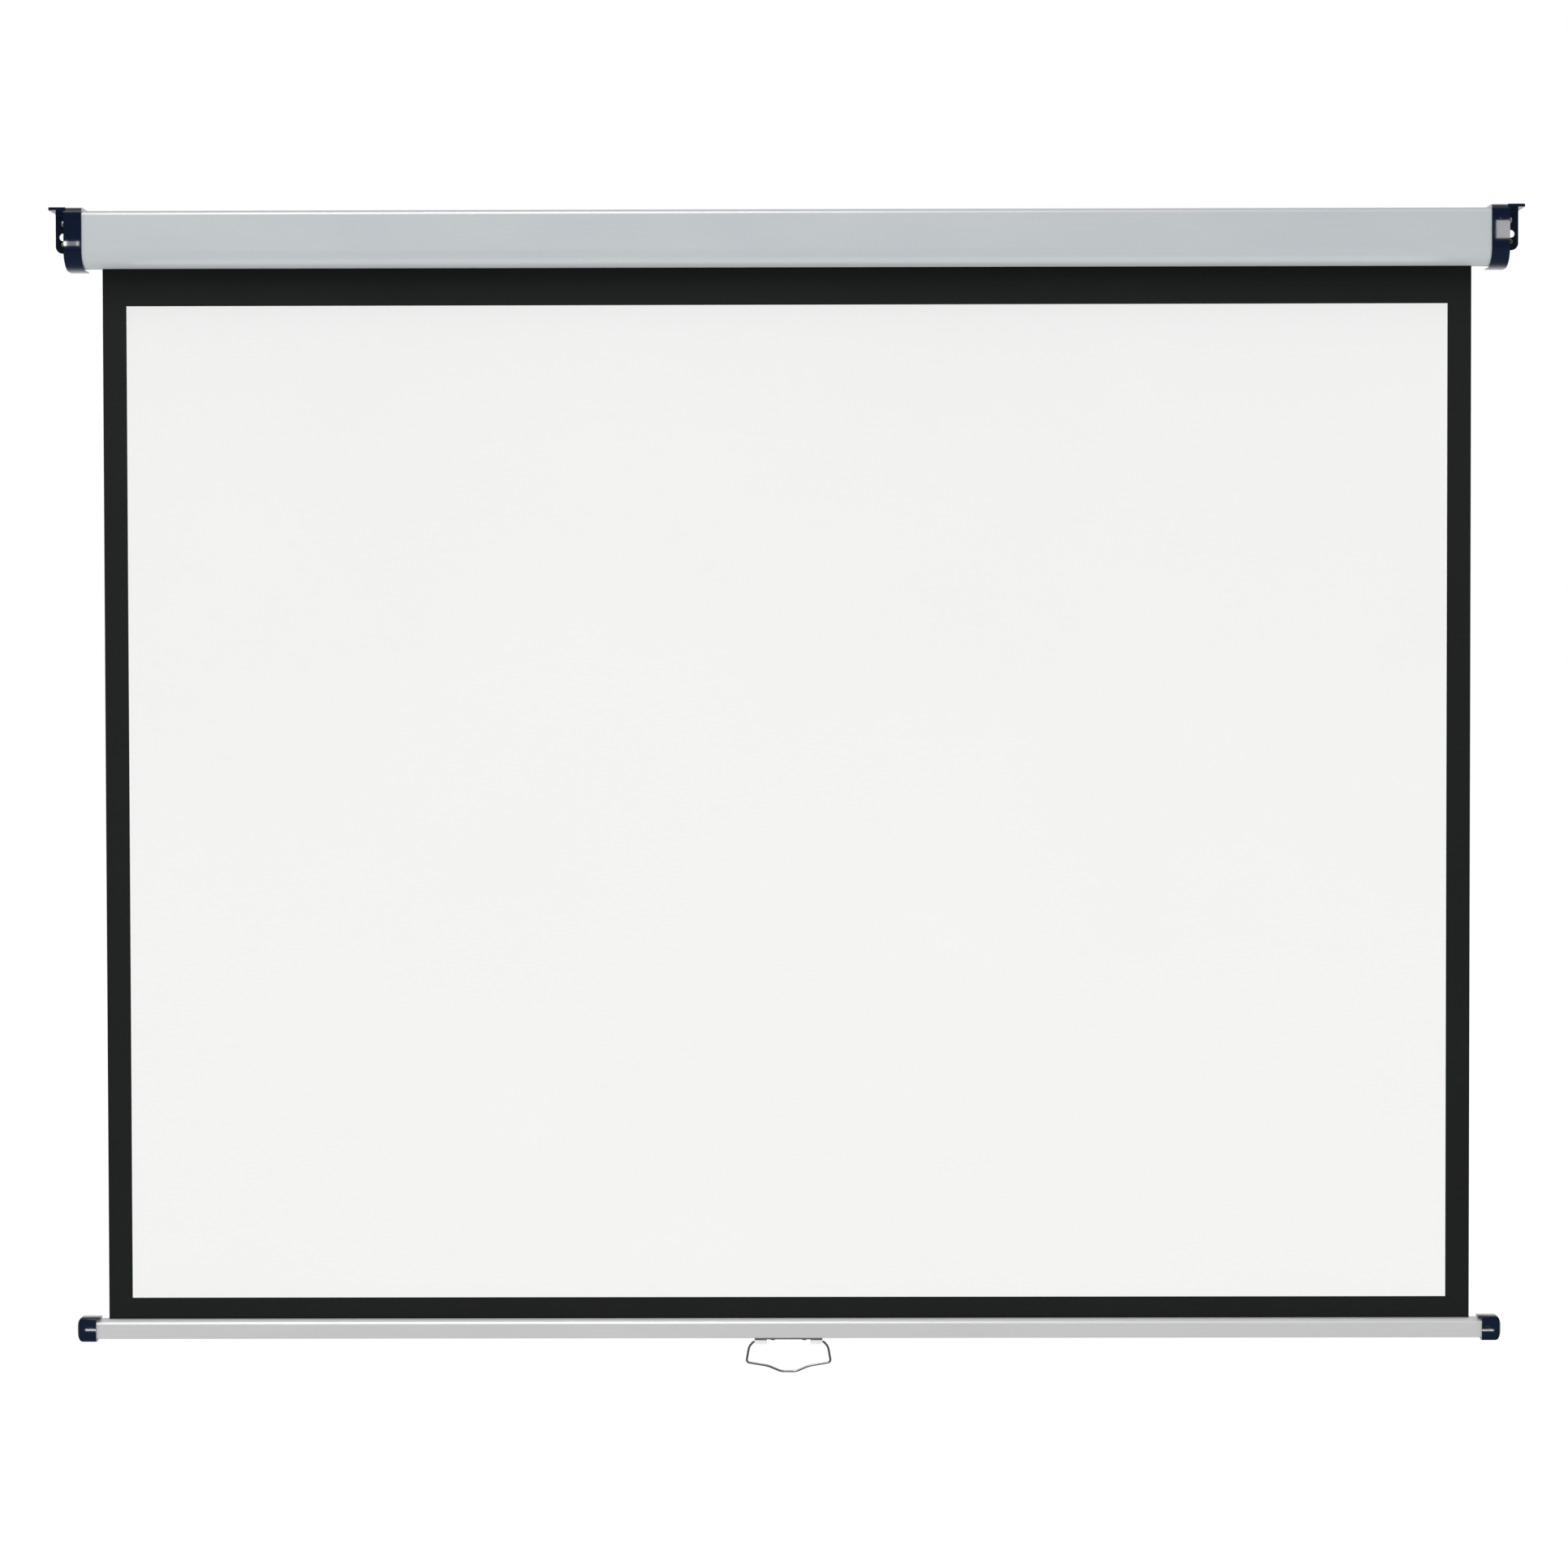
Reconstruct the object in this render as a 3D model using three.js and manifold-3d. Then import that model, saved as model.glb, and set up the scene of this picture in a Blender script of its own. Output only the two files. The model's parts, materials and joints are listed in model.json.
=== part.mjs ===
// Pull down projector screen with a self-winding roller, hung from two end caps.
// Millimetres, +X to the viewer's right, -Y towards the viewer, +Z up. The origin is on the flat back
// of the housing, which lies in the wall plane, half way along it and half way up it.
import * as THREE from 'three';
import { mergeVertices } from 'three/addons/utils/BufferGeometryUtils.js';
import Module from 'manifold-3d';

const wasm = await Module();
wasm.setup();

// Picture and cloth
const pictureWidth = 1500;
const pictureHeight = 1131;
const sideBorder = 27;
const topBorder = 40;
const bottomBorder = 24;
const carrierThickness = 0.35;
const pictureCoat = 0.25;

// Running gaps
const fit = 0.3;
const overrun = 5;

// Housing
const housingHeight = 65;
const housingDepth = 58.5;
const housingWall = 1.2;
const backCorner = 2;
const brow = 5.5;
const flatFront = 45;
const underSweep = 38;
const slotFront = 33;
const slotRise = 4;
const beadRadius = 1.4;
const portRadius = 3.6;
const portBite = 0.6;
const frontPortDrop = 14.5;
const rearPortRise = 12.5;
const housingMargin = 17;

// End caps, with their ceiling and wall flanges
const bandLength = 20.3;
const bandWall = 1.2;
const sidePlate = 2.2;
const capEndPlay = 0.8;
const ceilingPlate = 3.3;
const wallPlate = 3;
const flangeReach = 17.2;
const flangeClear = 4.6;
const flangeCorner = 8;
const tipCorner = 3;
const innerFillet = 2.6;
const openHoleRadius = 4.4;
const openHoleSpacing = 8.6;
const seatRadius = 4.1;
const seatMargin = 10;
const seatDepth = 1.4;
const rimWidth = 1.4;
const rimHeight = 0.9;
const flangeScrewRadius = 2;
const flangeScrewHead = 3.2;
const ceilingHoleRadius = 2.75;
const ceilingHoleInset = 13;
const bossRadius = 10;

// Case screws
const screwRadius = 1.9;
const screwLength = 14;
const screwHeadRadius = 3.5;
const screwHeadHeight = 2.3;
const recessWidth = 0.9;
const recessDepth = 1.1;

// Roller
const tubeRadius = 16;
const tubeWall = 0.8;
const rollerForward = 1.75;
const rollerRise = 4;
const rollerMargin = 5;
const wrapsThickness = 1.1;
const coverThickness = 2;
const washerThickness = 1.6;
const washerRadius = 9;
const plugWeb = 3;
const plugHubLength = 15;
const plugSleeve = 16;
const plugSleeveWall = 2.4;
const pawlChamber = 5.5;

// Arbor, spring and lock
const arborRadius = 3;
const tongueThickness = 3;
const tongueLength = 20;
const hubRadius = 6;
const springWire = 1.6;
const springGap = 0.4;
const springPitch = 8;
const springCurls = 26;
const springSides = 5;
const springSteps = 8;
const anchorLength = 14;
const anchorPinRadius = 1;
const ratchetThickness = 3;
const notchWidth = 4;
const notchAngle = 40;
const pawlPinRadius = 1.2;
const pawlThickness = 2.4;

// Lock, as shares of the room between the arbor and the tube's bore, then of the pawl pin's reach
const ratchetShare = 0.287;
const notchShare = 0.213;
const pawlPinShare = 0.64;
const pawlBossShare = 0.213;
const pawlArmShare = 0.62;
const pawlNoseShare = 0.5;

// Idler end
const gudgeonRadius = 4;
const gudgeonLength = 34;
const bushWall = 2.6;
const bushLength = 12;

// Weight bar
const barHeight = 22.5;
const barDepth = 17;
const barWall = 1.4;
const barOverhang = 28;
const barBrow = 5;
const barCorner = 2.2;
const barShow = 14.1;
const hemSlot = 2.4;
const hemCavity = 3.7;
const hemRodRadius = 2.2;
const hemRise = 6.4;

// Bar end caps
const barCapLength = 21.9;
const barCapRise = 2.9;
const barCapDrop = 3.3;
const barCapWall = 1.8;
const barCapCorner = 4.5;
const barCapDome = 7;
const barCapLip = 4.4;

// Handle plate, wire bearings, rivets and wire handle
const plateLength = 77.4;
const plateDepth = 13;
const plateWall = 1.2;
const plateFold = 0.7;
const bearingLength = 13.7;
const bearingDepth = 9;
const bearingWall = 0.8;
const bearingCorner = 1.4;
const studRadius = 1.6;
const wireRadius = 1.3;
const wireGap = 0.4;
const rivetMargin = 7;
const rivetRadius = 1.6;
const rivetHead = 3.3;
const rivetRise = 1.6;
const rivetDomeShare = 0.85;
const handleFlare = 9.6;
const handleDrop = 33.8;
const wireBend = 4;
const wireBendShare = 0.45;
const wireSteps = 92;
const wireSides = 8;

// Flats on round pieces, and points on each quarter of a rounded outline
const tubeFlats = 36;
const rodFlats = 20;
const ringFlats = 24;
const smallFlats = 14;
const arcPoints = 6;

// Places that follow from the sizes above
const clothHalf = pictureWidth / 2 + sideBorder;
const topZ = housingHeight / 2;
const bottomZ = -housingHeight / 2;
const kneeZ = topZ - flatFront;
const bandInnerX = clothHalf + housingMargin;
const capOuterX = bandInnerX + bandLength;
const plateInnerX = capOuterX - sidePlate;
const tipX = capOuterX + flangeReach;
const flangeMidX = capOuterX + flangeReach / 2;
const flangeTopZ = topZ + fit + ceilingPlate;
const frontPortZ = topZ - frontPortDrop;
const rearPortZ = bottomZ + rearPortRise;
const flangeFootZ = rearPortZ + screwHeadRadius + flangeClear;
const seatZ = flangeFootZ + seatMargin;
const openHoleZ = seatZ + openHoleSpacing;
const capFrontY = -(housingDepth + fit + bandWall);
const rollerDepth = housingDepth / 2 + rollerForward;
const rollerHalf = clothHalf + rollerMargin;
const washerX = rollerHalf + coverThickness + fit;
const bossEndX = washerX + washerThickness + fit;
const wrapRadius = tubeRadius + fit + wrapsThickness;
const tubeBore = tubeRadius - tubeWall;
const lockRoom = tubeBore - arborRadius;
const ratchetRadius = arborRadius + lockRoom * ratchetShare;
const notchDepth = lockRoom * notchShare;
const pawlPinReach = arborRadius + lockRoom * pawlPinShare;
const pawlBoss = lockRoom * pawlBossShare;
const clothY = wrapRadius + fit - rollerDepth;
const pictureTopZ = bottomZ - topBorder;
const pictureBottomZ = pictureTopZ - pictureHeight;
const barTopZ = pictureBottomZ - bottomBorder;
const barHalf = clothHalf + barOverhang;
const plateTopZ = -barHeight - fit;
const bearingTopZ = plateTopZ - plateWall - plateFold - fit;
const wireBore = wireRadius + wireGap;
const wireZ = bearingTopZ - bearingWall - wireBore;
const bearingFootZ = wireZ - wireBore - bearingWall;
const bearingInnerX = plateLength / 2 - bearingLength;
const bearingMidX = plateLength / 2 - bearingLength / 2;
const rivetReach = bearingInnerX - rivetMargin;
const webX = pawlChamber - rollerHalf;
const ratchetX = webX - fit - ratchetThickness;
const springStartX = webX + plugWeb + springWire;
const springEndX = springStartX + springCurls * springPitch + springWire;
const anchorPinX = springEndX - anchorLength / 2;

// Finishes
const finish = (color, roughness, metalness) =>
  new THREE.MeshStandardMaterial({ color, roughness, metalness });
const silverPaint = finish(0xc2c8cb, 0.38, 0.35);
const navyGloss = finish(0x121c2d, 0.14, 0.0);
const zincSteel = finish(0xa9a9a6, 0.35, 0.9);
const brassPlate = finish(0xa28f4e, 0.35, 0.9);
const springSteel = finish(0x55585a, 0.4, 0.9);
const nylon = finish(0xe6e4dc, 0.5, 0.0);
const blackCloth = finish(0x151917, 0.85, 0.0);
const whiteCloth = finish(0xefefee, 0.8, 0.0);
const silverBar = finish(0xc8c9c8, 0.4, 0.5);
const whiteNylon = finish(0xeeeeec, 0.4, 0.0);
const greyWire = finish(0x8f8a86, 0.3, 0.9);

// A geometry with only merged positions and without collapsed triangles.
function welded(geometry) {
  const plain = geometry.clone();
  plain.deleteAttribute('normal');
  plain.deleteAttribute('uv');
  const merged = mergeVertices(plain);
  const kept = [];
  const corner = merged.index.array;
  for (let i = 0; i < corner.length; i += 3) {
    const [a, b, c] = corner.slice(i, i + 3);
    if (a !== b && b !== c && c !== a) kept.push(a, b, c);
  }
  merged.setIndex(kept);
  return merged;
}

function solid(geometry) {
  const merged = welded(geometry);
  return new wasm.Manifold(new wasm.Mesh({
    numProp: 3,
    vertProperties: new Float32Array(merged.attributes.position.array),
    triVerts: new Uint32Array(merged.index.array),
  }));
}

function geometryOf(body) {
  const mesh = body.getMesh();
  const geometry = new THREE.BufferGeometry();
  geometry.setAttribute('position', new THREE.BufferAttribute(mesh.vertProperties, 3));
  geometry.setIndex(new THREE.BufferAttribute(mesh.triVerts, 1));
  return geometry;
}

function joined(first, ...others) {
  return others.reduce((body, other) => body.add(solid(other)), solid(first));
}

function cut(body, ...tools) {
  return tools.reduce((rest, tool) => rest.subtract(solid(tool)), body);
}

// A section drawn in Y and Z, drawn out from one X to another.
function alongX(shape, from, to, curveSegments = arcPoints) {
  const start = Math.min(from, to);
  const depth = Math.abs(to - from);
  const geometry = new THREE.ExtrudeGeometry(shape, { depth, bevelEnabled: false, curveSegments });
  const turn = new THREE.Matrix4().makeBasis(
    new THREE.Vector3(0, 1, 0), new THREE.Vector3(0, 0, 1), new THREE.Vector3(1, 0, 0));
  return geometry.applyMatrix4(turn).translate(start, 0, 0);
}

// A front view drawn in X and Z, drawn out towards the viewer from one Y.
function alongY(shape, backY, depth, curveSegments = arcPoints) {
  const geometry = new THREE.ExtrudeGeometry(shape, { depth, bevelEnabled: false, curveSegments });
  return geometry.rotateX(Math.PI / 2).translate(0, backY, 0);
}

// A plan drawn in X and Y, drawn out upwards from one Z.
function alongZ(shape, bottom, height, curveSegments = arcPoints) {
  const geometry = new THREE.ExtrudeGeometry(shape, { depth: height, bevelEnabled: false, curveSegments });
  return geometry.translate(0, 0, bottom);
}

// A box about its middle.
function block(x, y, z, sizeX, sizeY, sizeZ) {
  return new THREE.BoxGeometry(sizeX, sizeY, sizeZ).translate(x, y, z);
}

// A turned piece about the X axis; each point is its radius and its place along X.
function turned(points, sides = ringFlats) {
  const outline = points.map(([radius, x]) => new THREE.Vector2(radius, x));
  outline.push(outline[0].clone());
  return new THREE.LatheGeometry(outline, sides).rotateZ(-Math.PI / 2);
}

function rod(radius, from, to, sides = rodFlats) {
  const low = Math.min(from, to);
  const high = Math.max(from, to);
  return turned([[0, low], [radius, low], [radius, high], [0, high]], sides);
}

function ring(inner, outer, from, to, sides = ringFlats) {
  const low = Math.min(from, to);
  const high = Math.max(from, to);
  return turned([[inner, low], [outer, low], [outer, high], [inner, high]], sides);
}

// A concave corner strip with equal legs, drawn at the corner (a, b) and opening towards the signs.
function filletShape(a, b, signA, signB, size) {
  const corner = new THREE.Vector2(a, b);
  const shape = new THREE.Shape();
  shape.moveTo(corner.x - signA * fit, corner.y - signB * fit);
  shape.lineTo(corner.x + signA * size, corner.y - signB * fit);
  shape.lineTo(corner.x + signA * size, corner.y);
  shape.quadraticCurveTo(corner.x, corner.y, corner.x, corner.y + signB * size);
  shape.lineTo(corner.x - signA * fit, corner.y + signB * size);
  return shape;
}

// The front of the housing from the top to the underside, drawn larger by grow.
function frontCurve(path, top, grow, endAngle) {
  const reach = housingDepth + grow;
  const round = brow + grow;
  path.lineTo(round - reach, top);
  path.absarc(round - reach, top - round, round, Math.PI / 2, Math.PI, false);
  path.lineTo(-reach, kneeZ);
  path.absellipse(underSweep - housingDepth, kneeZ, underSweep + grow, kneeZ - bottomZ + grow,
    Math.PI, endAngle, false, 0);
}

// The housing's section at one face of its wall, from the foot of the back to the front lip.
function shellFace(inset, lipAngle) {
  const path = new THREE.Path();
  const round = Math.max(backCorner - inset, fit);
  path.moveTo(-inset, bottomZ + slotRise);
  path.lineTo(-inset, topZ - backCorner);
  path.absarc(-backCorner, topZ - backCorner, round, 0, Math.PI / 2, false);
  frontCurve(path, topZ - inset, -inset, lipAngle);
  return path.getPoints(arcPoints);
}

const portCentres = [
  [portRadius - portBite + housingWall - housingDepth, frontPortZ],
  [portBite - portRadius - housingWall, rearPortZ],
];

function housingShell() {
  const lipShare = (slotFront - housingDepth + underSweep) / underSweep;
  const lipAngle = Math.PI + Math.acos(THREE.MathUtils.clamp(lipShare, 0, 1));
  const outer = shellFace(0, lipAngle);
  const inner = shellFace(housingWall, lipAngle);
  const half = plateInnerX - capEndPlay;
  const inward = inner.at(-1).clone().sub(outer.at(-1)).setLength(beadRadius);
  const lip = outer.at(-1).clone().add(inward);
  const bead = (y, z) => rod(beadRadius, -half, half, smallFlats).translate(0, y, z);
  const walls = alongX(new THREE.Shape([...outer, ...inner.reverse()]), -half, half);
  const ports = portCentres.map(([y, z]) => rod(portRadius, -half, half).translate(0, y, z));
  const bores = portCentres.map(([y, z]) =>
    rod(screwRadius + fit, -half - overrun, half + overrun, smallFlats).translate(0, y, z));
  const beads = [bead(lip.x, lip.y), bead(-beadRadius, bottomZ + slotRise)];
  return geometryOf(cut(joined(walls, ...beads, ...ports), ...bores));
}

// Closed outline of the end cap's band, or of the room inside it.
function hoodShape(top, rear, grow) {
  const shape = new THREE.Shape();
  shape.moveTo(rear, bottomZ - grow);
  shape.lineTo(rear, top);
  frontCurve(shape, top, grow, 3 * Math.PI / 2);
  shape.closePath();
  return shape;
}

function wallFlangeShape(side) {
  const shape = new THREE.Shape();
  shape.moveTo(side * plateInnerX, flangeTopZ);
  shape.lineTo(side * plateInnerX, flangeFootZ);
  shape.lineTo(side * (tipX - flangeCorner), flangeFootZ);
  shape.quadraticCurveTo(side * tipX, flangeFootZ, side * tipX, flangeFootZ + flangeCorner);
  shape.lineTo(side * tipX, flangeTopZ);
  return shape;
}

function ceilingFlangeShape(side) {
  const shape = new THREE.Shape();
  shape.moveTo(side * plateInnerX, 0);
  shape.lineTo(side * tipX, 0);
  shape.lineTo(side * tipX, capFrontY + tipCorner);
  shape.quadraticCurveTo(side * tipX, capFrontY, side * (tipX - tipCorner), capFrontY);
  shape.lineTo(side * plateInnerX, capFrontY);
  return shape;
}

// Round rod that runs from front to back through (x, z).
function frontRod(radius, x, z, frontY, backY, sides = ringFlats) {
  return new THREE.CylinderGeometry(radius, radius, backY - frontY, sides)
    .translate(x, (frontY + backY) / 2, z);
}

function endCap(side) {
  const band = alongX(hoodShape(flangeTopZ, 0, fit + bandWall), side * bandInnerX, side * capOuterX);
  const room = alongX(hoodShape(topZ + fit, overrun, fit), side * (bandInnerX - overrun),
    side * plateInnerX);
  const underFlange = flangeTopZ - ceilingPlate;
  const rimRadius = seatRadius + rimWidth;
  let body = cut(solid(band), room);
  body = body.add(joined(
    alongZ(ceilingFlangeShape(side), underFlange, ceilingPlate),
    alongY(wallFlangeShape(side), 0, wallPlate),
    frontRod(rimRadius, side * flangeMidX, seatZ, -wallPlate - rimHeight, -wallPlate / 2),
    alongY(filletShape(side * capOuterX, underFlange, side, -1, innerFillet), -wallPlate / 2,
      -capFrontY - wallPlate / 2 - tipCorner),
    alongZ(filletShape(side * capOuterX, -wallPlate, side, -1, innerFillet),
      flangeFootZ, flangeTopZ - ceilingPlate / 2 - flangeFootZ),
    alongX(filletShape(-wallPlate, underFlange, -1, -1, innerFillet), side * (capOuterX - sidePlate / 2),
      side * tipX),
    rod(bossRadius, side * bossEndX, side * (plateInnerX + sidePlate / 2))
      .translate(0, -rollerDepth, rollerRise),
  ));
  const screwHoles = portCentres.map(([y, z]) =>
    rod(screwRadius + fit, side * (plateInnerX - overrun), side * (capOuterX + overrun), smallFlats)
      .translate(0, y, z));
  const ceilingHoles = [ceilingHoleInset, -capFrontY - ceilingHoleInset].map((inset) =>
    new THREE.CylinderGeometry(ceilingHoleRadius, ceilingHoleRadius, ceilingPlate + 2 * overrun, rodFlats)
      .rotateX(Math.PI / 2).translate(side * flangeMidX, -inset, underFlange));
  return cut(body,
    ...screwHoles,
    ...ceilingHoles,
    frontRod(openHoleRadius, side * flangeMidX, openHoleZ, -wallPlate - overrun, overrun),
    frontRod(seatRadius, side * flangeMidX, seatZ, -wallPlate - overrun, seatDepth - wallPlate),
    frontRod(flangeScrewRadius + fit, side * flangeMidX, seatZ, -wallPlate - overrun, overrun, smallFlats));
}

function springEndCap() {
  const socket = block(-(bossEndX + (tongueLength + fit) / 2 - overrun / 2), -rollerDepth, rollerRise,
    tongueLength + fit + overrun, tongueThickness + 2 * fit, 2 * (arborRadius + fit));
  return geometryOf(cut(endCap(-1), socket));
}

function idlerEndCap() {
  const bore = rod(gudgeonRadius + bushWall + 2 * fit, bossEndX - overrun, bossEndX + bushLength + fit)
    .translate(0, -rollerDepth, rollerRise);
  return geometryOf(cut(endCap(1), bore));
}

// Pan head screw along +X with its head's underside at the origin and a cross recess.
function panScrew(radius, length, headRadius, headHeight) {
  const rounded = headHeight / 3;
  const body = solid(turned([
    [0, -length], [radius, -length], [radius, 0], [headRadius, 0], [headRadius, headHeight - rounded],
    [headRadius - rounded, headHeight], [0, headHeight]], smallFlats));
  const arm = 2 * (headRadius - recessWidth);
  const recess = [[recessWidth, arm], [arm, recessWidth]].map(([y, z]) =>
    block(headHeight, 0, 0, 2 * recessDepth, y, z));
  return geometryOf(cut(body, ...recess));
}

// Screw in the wall flange's seat, its head to the front and its end short of the wall.
function flangeScrew() {
  const length = wallPlate - seatDepth - 2 * fit;
  return panScrew(flangeScrewRadius, length, flangeScrewHead, seatDepth).rotateZ(-Math.PI / 2);
}

// Hanging layer of cloth between two heights, its front face at y.
function clothLayer(half, y, thickness, top, foot) {
  return block(0, y + thickness / 2, (top + foot) / 2, 2 * half, thickness, top - foot);
}

function arborRod() {
  const shoulder = fit - bossEndX;
  const tip = shoulder - tongueLength;
  const flat = block((tip + shoulder) / 2, 0, 0, tongueLength + 2 * fit, tongueThickness, 2 * arborRadius);
  const tongue = solid(rod(arborRadius, tip, shoulder + fit)).intersect(solid(flat));
  const pinHole = new THREE.CylinderGeometry(anchorPinRadius + fit, anchorPinRadius + fit,
    2 * (arborRadius + overrun), smallFlats).translate(anchorPinX, 0, 0);
  return geometryOf(cut(tongue.add(solid(rod(arborRadius, shoulder, springEndX))), pinHole));
}

// Hub on the arbor's inner end, which the spring's last curls grip.
function springAnchor() {
  const body = solid(ring(arborRadius + fit, hubRadius, springEndX - anchorLength, springEndX));
  const pinHole = new THREE.CylinderGeometry(anchorPinRadius + fit, anchorPinRadius + fit,
    2 * (hubRadius + overrun), smallFlats).translate(anchorPinX, 0, 0);
  return geometryOf(cut(body, pinHole));
}

function anchorPin() {
  return new THREE.CylinderGeometry(anchorPinRadius, anchorPinRadius, 2 * hubRadius, smallFlats)
    .translate(anchorPinX, 0, 0);
}

// Helix about X whose flats, not only its corners, clear the hub that it is wound on.
class Helix extends THREE.Curve {
  getPoint(t, target = new THREE.Vector3()) {
    const radius = (hubRadius + springGap + springWire / 2) / Math.cos(Math.PI / springSteps);
    const angle = 2 * Math.PI * springCurls * t;
    return target.set(springStartX + springPitch * springCurls * t,
      radius * Math.cos(angle), radius * Math.sin(angle));
  }
}

function torsionSpring() {
  const section = new THREE.Shape();
  for (let i = 0; i < springSides; i += 1) {
    const angle = 2 * Math.PI * i / springSides;
    const point = [springWire / 2 * Math.cos(angle), springWire / 2 * Math.sin(angle)];
    if (i === 0) section.moveTo(...point);
    else section.lineTo(...point);
  }
  section.closePath();
  return new THREE.ExtrudeGeometry(section, {
    steps: springCurls * springSteps, extrudePath: new Helix(), bevelEnabled: false });
}

// Disc with two notches, fixed on the arbor inside the open end of the tube.
function ratchetDisc() {
  const disc = solid(ring(arborRadius + fit, ratchetRadius, ratchetX, ratchetX + ratchetThickness));
  const notches = [0, Math.PI].map((turn) =>
    block(ratchetX + ratchetThickness / 2, ratchetRadius, 0, ratchetThickness + overrun,
      2 * notchDepth, notchWidth)
      .rotateX(turn + THREE.MathUtils.degToRad(notchAngle)));
  return geometryOf(cut(disc, ...notches));
}

// Pawl about its own pin: a round boss, an arm to the right and a nose that points down to the ratchet.
function pawl() {
  const arm = pawlPinReach * pawlArmShare;
  const nose = pawlPinReach * pawlNoseShare;
  const shape = new THREE.Shape();
  shape.moveTo(0, pawlBoss);
  shape.quadraticCurveTo(arm, pawlBoss, arm + pawlBoss / 2, -nose / 2);
  shape.lineTo(arm, -nose);
  shape.lineTo(arm - pawlBoss / 2, -nose);
  shape.quadraticCurveTo(arm - pawlBoss / 2, -pawlBoss / 4, 0, -pawlBoss);
  shape.absarc(0, 0, pawlBoss, 3 * Math.PI / 2, Math.PI / 2, true);
  const bore = rod(pawlPinRadius + fit, ratchetX - overrun, ratchetX + pawlThickness + overrun, smallFlats);
  return geometryOf(cut(solid(alongX(shape, ratchetX, ratchetX + pawlThickness)), bore));
}

function rollerTube() {
  return ring(tubeBore, tubeRadius, -rollerHalf, rollerHalf, tubeFlats);
}

function clothWraps() {
  return ring(tubeRadius + fit, wrapRadius, -clothHalf, clothHalf, tubeFlats);
}

// Left plug: a web across the tube, a sleeve along its bore and a hub that holds the spring's first curls.
function springPlug() {
  const outer = tubeBore - fit;
  const sleeveBore = outer - plugSleeveWall;
  const bore = arborRadius + fit;
  return turned([[bore, webX], [outer, webX], [outer, webX + plugSleeve], [sleeveBore, webX + plugSleeve],
    [sleeveBore, webX + plugWeb], [hubRadius, webX + plugWeb], [hubRadius, webX + plugHubLength],
    [bore, webX + plugHubLength]]);
}

function springCover() {
  return ring(arborRadius + 2 * fit, tubeRadius, -(rollerHalf + coverThickness), -(rollerHalf + fit));
}

function idlerPlug() {
  const end = rollerHalf + coverThickness;
  const outer = tubeBore - fit;
  const bore = gudgeonRadius + fit;
  return turned([[bore, rollerHalf - plugSleeve], [outer, rollerHalf - plugSleeve],
    [outer, rollerHalf + fit], [tubeRadius, rollerHalf + fit], [tubeRadius, end], [bore, end]]);
}

function gudgeonPin() {
  const end = bossEndX + bushLength - fit;
  return rod(gudgeonRadius, end - gudgeonLength, end);
}

function idlerBush() {
  return ring(gudgeonRadius + fit, gudgeonRadius + fit + bushWall, bossEndX, bossEndX + bushLength - fit);
}

function endWasher(side, bore) {
  return ring(bore, washerRadius, side * washerX, side * (washerX + washerThickness));
}

function pawlPin() {
  return rod(pawlPinRadius, ratchetX - fit, webX - fit, smallFlats);
}

// Section of the weight bar, drawn smaller by inset: flat back, sloping brow, rounded foot.
function barShape(inset) {
  const front = inset - barDepth / 2;
  const back = barDepth / 2 - inset;
  const foot = inset - barHeight;
  const round = barCorner - inset / 2;
  const slope = barBrow - inset / 2;
  const shape = new THREE.Shape();
  shape.moveTo(back, foot + round);
  shape.lineTo(back, -inset - round);
  shape.quadraticCurveTo(back, -inset, back - round, -inset);
  shape.lineTo(front + slope, -inset);
  shape.quadraticCurveTo(front + slope / 4, -inset - slope / 4, front, -inset - slope);
  shape.lineTo(front, foot + round);
  shape.quadraticCurveTo(front, foot, front + round, foot);
  shape.lineTo(back - round, foot);
  shape.quadraticCurveTo(back, foot, back, foot + round);
  return shape;
}

const sides = [['left', -1], ['right', 1]];
const rivetPlaces = sides.map(([name, side]) => [name, side * rivetReach]);

function upRod(radius, x, low, high) {
  return new THREE.CylinderGeometry(radius, radius, high - low, smallFlats)
    .rotateX(Math.PI / 2).translate(x, 0, (low + high) / 2);
}

function weightBar() {
  const hollow = alongX(barShape(barWall), -barHalf - overrun, barHalf + overrun);
  const through = [-barHalf - overrun, barHalf + overrun];
  const hem = rod(hemCavity + barWall, -barHalf, barHalf).translate(0, 0, -hemRise);
  const neck = block(0, 0, -hemRise / 2, 2 * barHalf, hemSlot + 2 * barWall, hemRise);
  const cavity = rod(hemCavity, ...through).translate(0, 0, -hemRise);
  const mouth = block(0, 0, (overrun - hemRise) / 2, 2 * (barHalf + overrun), hemSlot, hemRise + overrun);
  const rivetHoles = rivetPlaces.map(([, x]) =>
    upRod(rivetRadius + fit, x, -barHeight - overrun, -barHeight + barWall + overrun));
  const shell = cut(solid(alongX(barShape(0), -barHalf, barHalf)), hollow);
  return geometryOf(cut(shell.add(joined(hem, neck)), cavity, mouth, ...rivetHoles));
}

function hemRod() {
  return rod(hemRodRadius, -barHalf, barHalf, smallFlats).translate(0, 0, -hemRise);
}

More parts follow.
